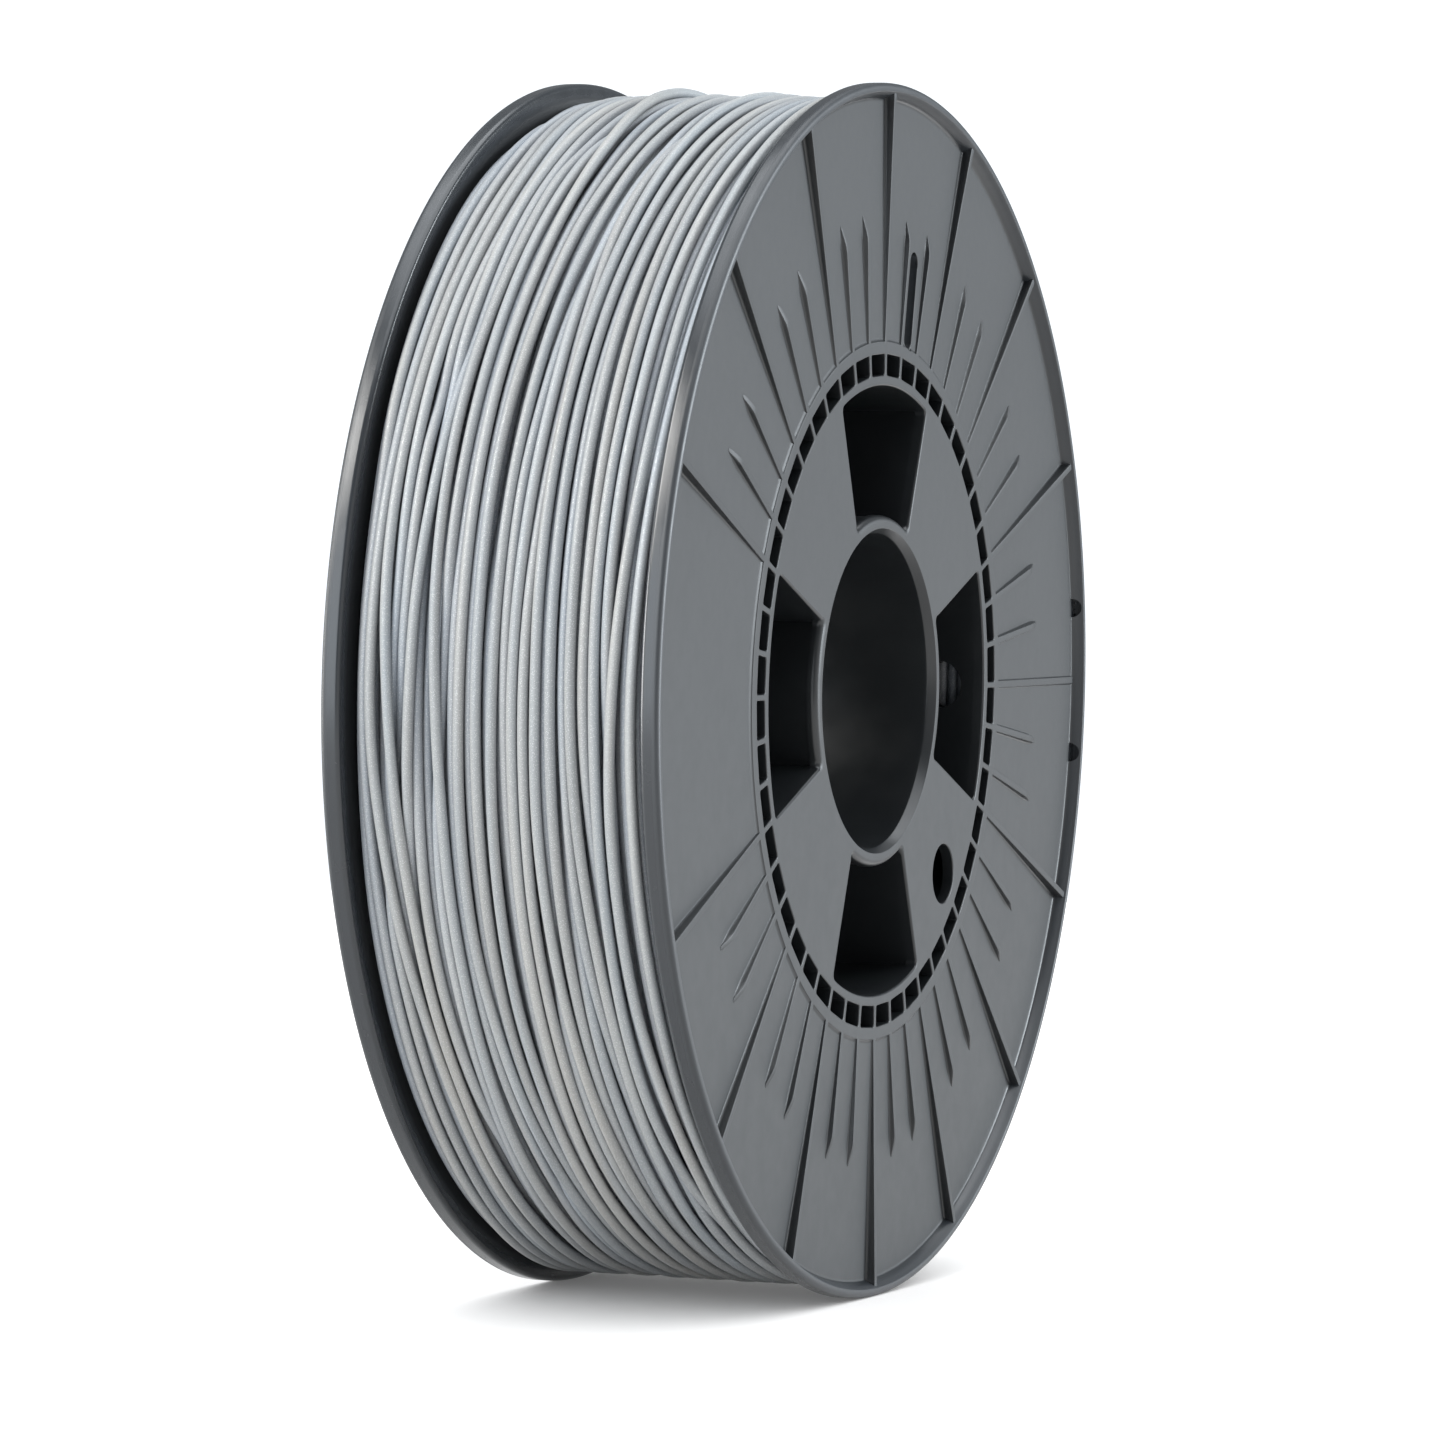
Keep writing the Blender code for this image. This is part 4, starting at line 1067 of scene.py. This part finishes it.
def spool_plastic():
    """Fine grain on the faces, smoother walls, and rims painted a little lighter and bluer as a painted
    reflection.
    """
    nodes = Nodes("charcoal moulded plastic")
    side, radius = nodes.place_on_spool()
    on_disc = nodes.spread(radius, 1, 0, *DISC_END)
    on_face = nodes.spread(nodes.facing_along_axis(), 0, 1, *FACE_BAND)
    on_lip = nodes.spread(side, 0, 1, *LIP_TOP_BAND)
    grained = nodes.maths("MAXIMUM", nodes.maths("MULTIPLY", on_disc, on_face), on_lip)
    tone = nodes.mix(nodes.spread(nodes.noise(55, 3), 0, 1), *PLASTIC_TONES)
    # The rims' lighter, bluer base colour is a painted reflection.
    nodes.feed("Base Color", nodes.mix(nodes.spread(radius, 0, 1, *RIM_PAINTED_SHEEN_BAND), tone, RIM_PAINTED_SHEEN))
    grain = nodes.spread(grained, WALL_ROUGHNESS, FACE_ROUGHNESS, 0, 1)
    polish = nodes.maths("MULTIPLY", grain, nodes.spread(radius, 1, RIM_POLISH, *RIM_POLISH_BAND))
    wear = nodes.spread(nodes.noise(240, 3), -WEAR, WEAR)
    nodes.feed("Roughness", nodes.maths("ADD", wear, polish))
    waves = nodes.bump(nodes.noise(90, 1), *PLASTIC_WAVES)
    nodes.feed("Normal", nodes.bump(nodes.noise(3200, 2), *PLASTIC_GRAIN, Normal=waves))
    nodes.feed("IOR", PLASTIC_IOR)
    return nodes.material


def filament():
    """Silver grey with a fine sparkle, and a painted shade that is cooler on the strands that lie deeper.
    """
    nodes = Nodes("silver filament")
    _, radius = nodes.place_on_spool()
    tone = nodes.mix(nodes.spread(nodes.noise(1.0, 2, TONE_STRETCH), 0, 1), *FILAMENT_TONES)
    # Painted shade: cooler on the deeper strands, warmer on the outer ones.
    tone = nodes.tinted(tone, nodes.mix(nodes.spread(radius, 0, 1, *DEPTH_SHADE_BAND), *DEPTH_SHADE_TINTS))
    warmth = nodes.spread(nodes.noise(1.0, 2, WARMTH_STRETCH), 0, 1)
    tone = nodes.tinted(tone, nodes.mix(warmth, *STRAND_TINTS))
    where = nodes.coordinates(EVERYWHERE)
    fleck = nodes.add("ShaderNodeTexVoronoi", Vector=where, Scale=FLECK_SCALE)
    spark = nodes.spread(fleck.outputs["Distance"], 1, 0, *FLECK_BAND)
    nodes.feed("Base Color", nodes.mix(nodes.spread(spark, 0, FLECK_SHARE, 0, 1), tone, FLECK_TONE))
    nodes.feed("Roughness", nodes.spread(spark, *FILAMENT_ROUGHNESS, 0, 1))
    nodes.feed("Metallic", nodes.spread(spark, *FILAMENT_METAL, 0, 1))
    nodes.feed("Normal", nodes.bump(nodes.noise(2600, 2), *FILAMENT_GRAIN))
    nodes.feed("IOR", FILAMENT_IOR)
    return nodes.material


def floor_material():
    nodes = Nodes("pale floor")
    nodes.feed("Base Color", nodes.mix(nodes.noise(3, 2), *FLOOR_TONES))
    nodes.feed("Roughness", FLOOR_ROUGHNESS)
    nodes.feed("Specular IOR Level", FLOOR_SHINE)
    nodes.feed("Emission Color", (1, 1, 1))
    nodes.feed("Emission Strength", FLOOR_GLOW)
    return nodes.material


# ----- scene

FLOOR_RADIUS = 1.2
SURROUND = 0.27
BACKDROP = 1.15
SURROUND_COLOUR = (0.96, 1.0, 1.04, 1)

# Each light's name, the direction that it comes from, strength, width in degrees and colour. The
# first falls on the floor alone, the last on the flanges alone, as a thin line on their rims' inner
# edges, and the others on everything but the floor.
FLOOR_LIGHT = ("floor light", (0, 0, 1), 4.7, 172, (1, 1, 1))
LIGHTS = (
    ("top", (0.1, 0.1, 1), 3.2, 70, (0.96, 1, 1.04)),
    ("side", (0.86, 0.46, 0.22), 5.4, 36, (0.93, 1, 1.06)),
    ("key", (-0.60, -0.56, 0.60), 3.3, 30, (1, 0.99, 0.965)),
    ("fill", (-0.24, -0.96, 0.08), 2.2, 50, (0.93, 1, 1.07)),
    ("left", (-0.90, -0.43, -0.05), 1.0, 64, (1, 1, 1)),
    ("right", (0.93, -0.37, 0.10), 0.6, 60, (1, 1, 1)),
)
RIM_LIGHT = ("left strip", (-0.94, -0.24, -0.05), 3.6, 34, (1, 1, 1))

# The camera, fitted to the outlines of the flanges, the bore and the holes in the photo
CAMERA_PLACE = (0.470889, -1.181836, 0.134576)
CAMERA_RIGHT = Vector((0.92843498, 0.3711456, 0.01610665))
CAMERA_UP = Vector((-0.02676335, 0.02358003, 0.99936365))
CAMERA_BACK = Vector((0.37052963, -0.92827524, 0.03182562))
CAMERA = {"sensor_width": 36, "lens": 190.73, "clip_start": 0.05, "clip_end": 100}


def sun(name, source, strength, spread, colour):
    """A far, soft light from this direction, as wide as the spread in degrees."""
    light = bpy.data.lights.new(name, "SUN")
    light.energy = strength
    light.angle = radians(spread)
    light.color = colour
    made = added(name, light)
    made.rotation_euler = Vector(source).to_track_quat("Z", "Y").to_euler()
    return made


def link_light(light, objects, state):
    """Let the light fall on nothing but these objects, or on everything else."""
    group = bpy.data.collections.new(light.name)
    for thing in objects:
        group.objects.link(thing)
    for link in group.collection_objects:
        link.light_linking.link_state = state
    light.light_linking.receiver_collection = group


def set_world():
    """An even surround, which the camera sees a little brighter than white."""
    world = bpy.data.worlds.new("studio")
    bpy.context.scene.world = world
    world.use_nodes = True
    tree = world.node_tree
    background = tree.nodes["Background"]
    background.inputs["Color"].default_value = SURROUND_COLOUR
    rays = tree.nodes.new("ShaderNodeLightPath")
    share = tree.nodes.new("ShaderNodeMapRange")
    share.inputs["To Min"].default_value = SURROUND
    share.inputs["To Max"].default_value = BACKDROP
    tree.links.new(rays.outputs["Is Camera Ray"], share.inputs["Value"])
    tree.links.new(share.outputs["Result"], background.inputs["Strength"])
    view = bpy.context.scene.view_settings
    view.view_transform = "Standard"
    view.look = "None"


def lay_floor():
    floor = bpy.data.meshes.new("floor")
    edge = [(FLOOR_RADIUS * cos(a), FLOOR_RADIUS * sin(a), 0) for a in all_round(FLOOR_SIDES)]
    floor.from_pydata(edge, [], [tuple(range(FLOOR_SIDES))])
    floor.materials.append(floor_material())
    made = added("floor", floor)
    return made


def set_camera():
    data = bpy.data.cameras.new("camera")
    camera = added("camera", data)
    turn = Matrix((CAMERA_RIGHT, CAMERA_UP, CAMERA_BACK)).transposed().to_4x4()
    camera.matrix_world = Matrix.Translation(CAMERA_PLACE) @ turn
    for key, value in CAMERA.items():
        setattr(data, key, value)
    bpy.context.scene.camera = camera


set_world()
floor = lay_floor()
link_light(sun(*FLOOR_LIGHT), [floor], "INCLUDE")
for light in LIGHTS:
    link_light(sun(*light), [floor], "EXCLUDE")
set_camera()
flanges = dress_mouldings(spool_plastic())
link_light(sun(*RIM_LIGHT), flanges, "INCLUDE")
wind_filament(filament())
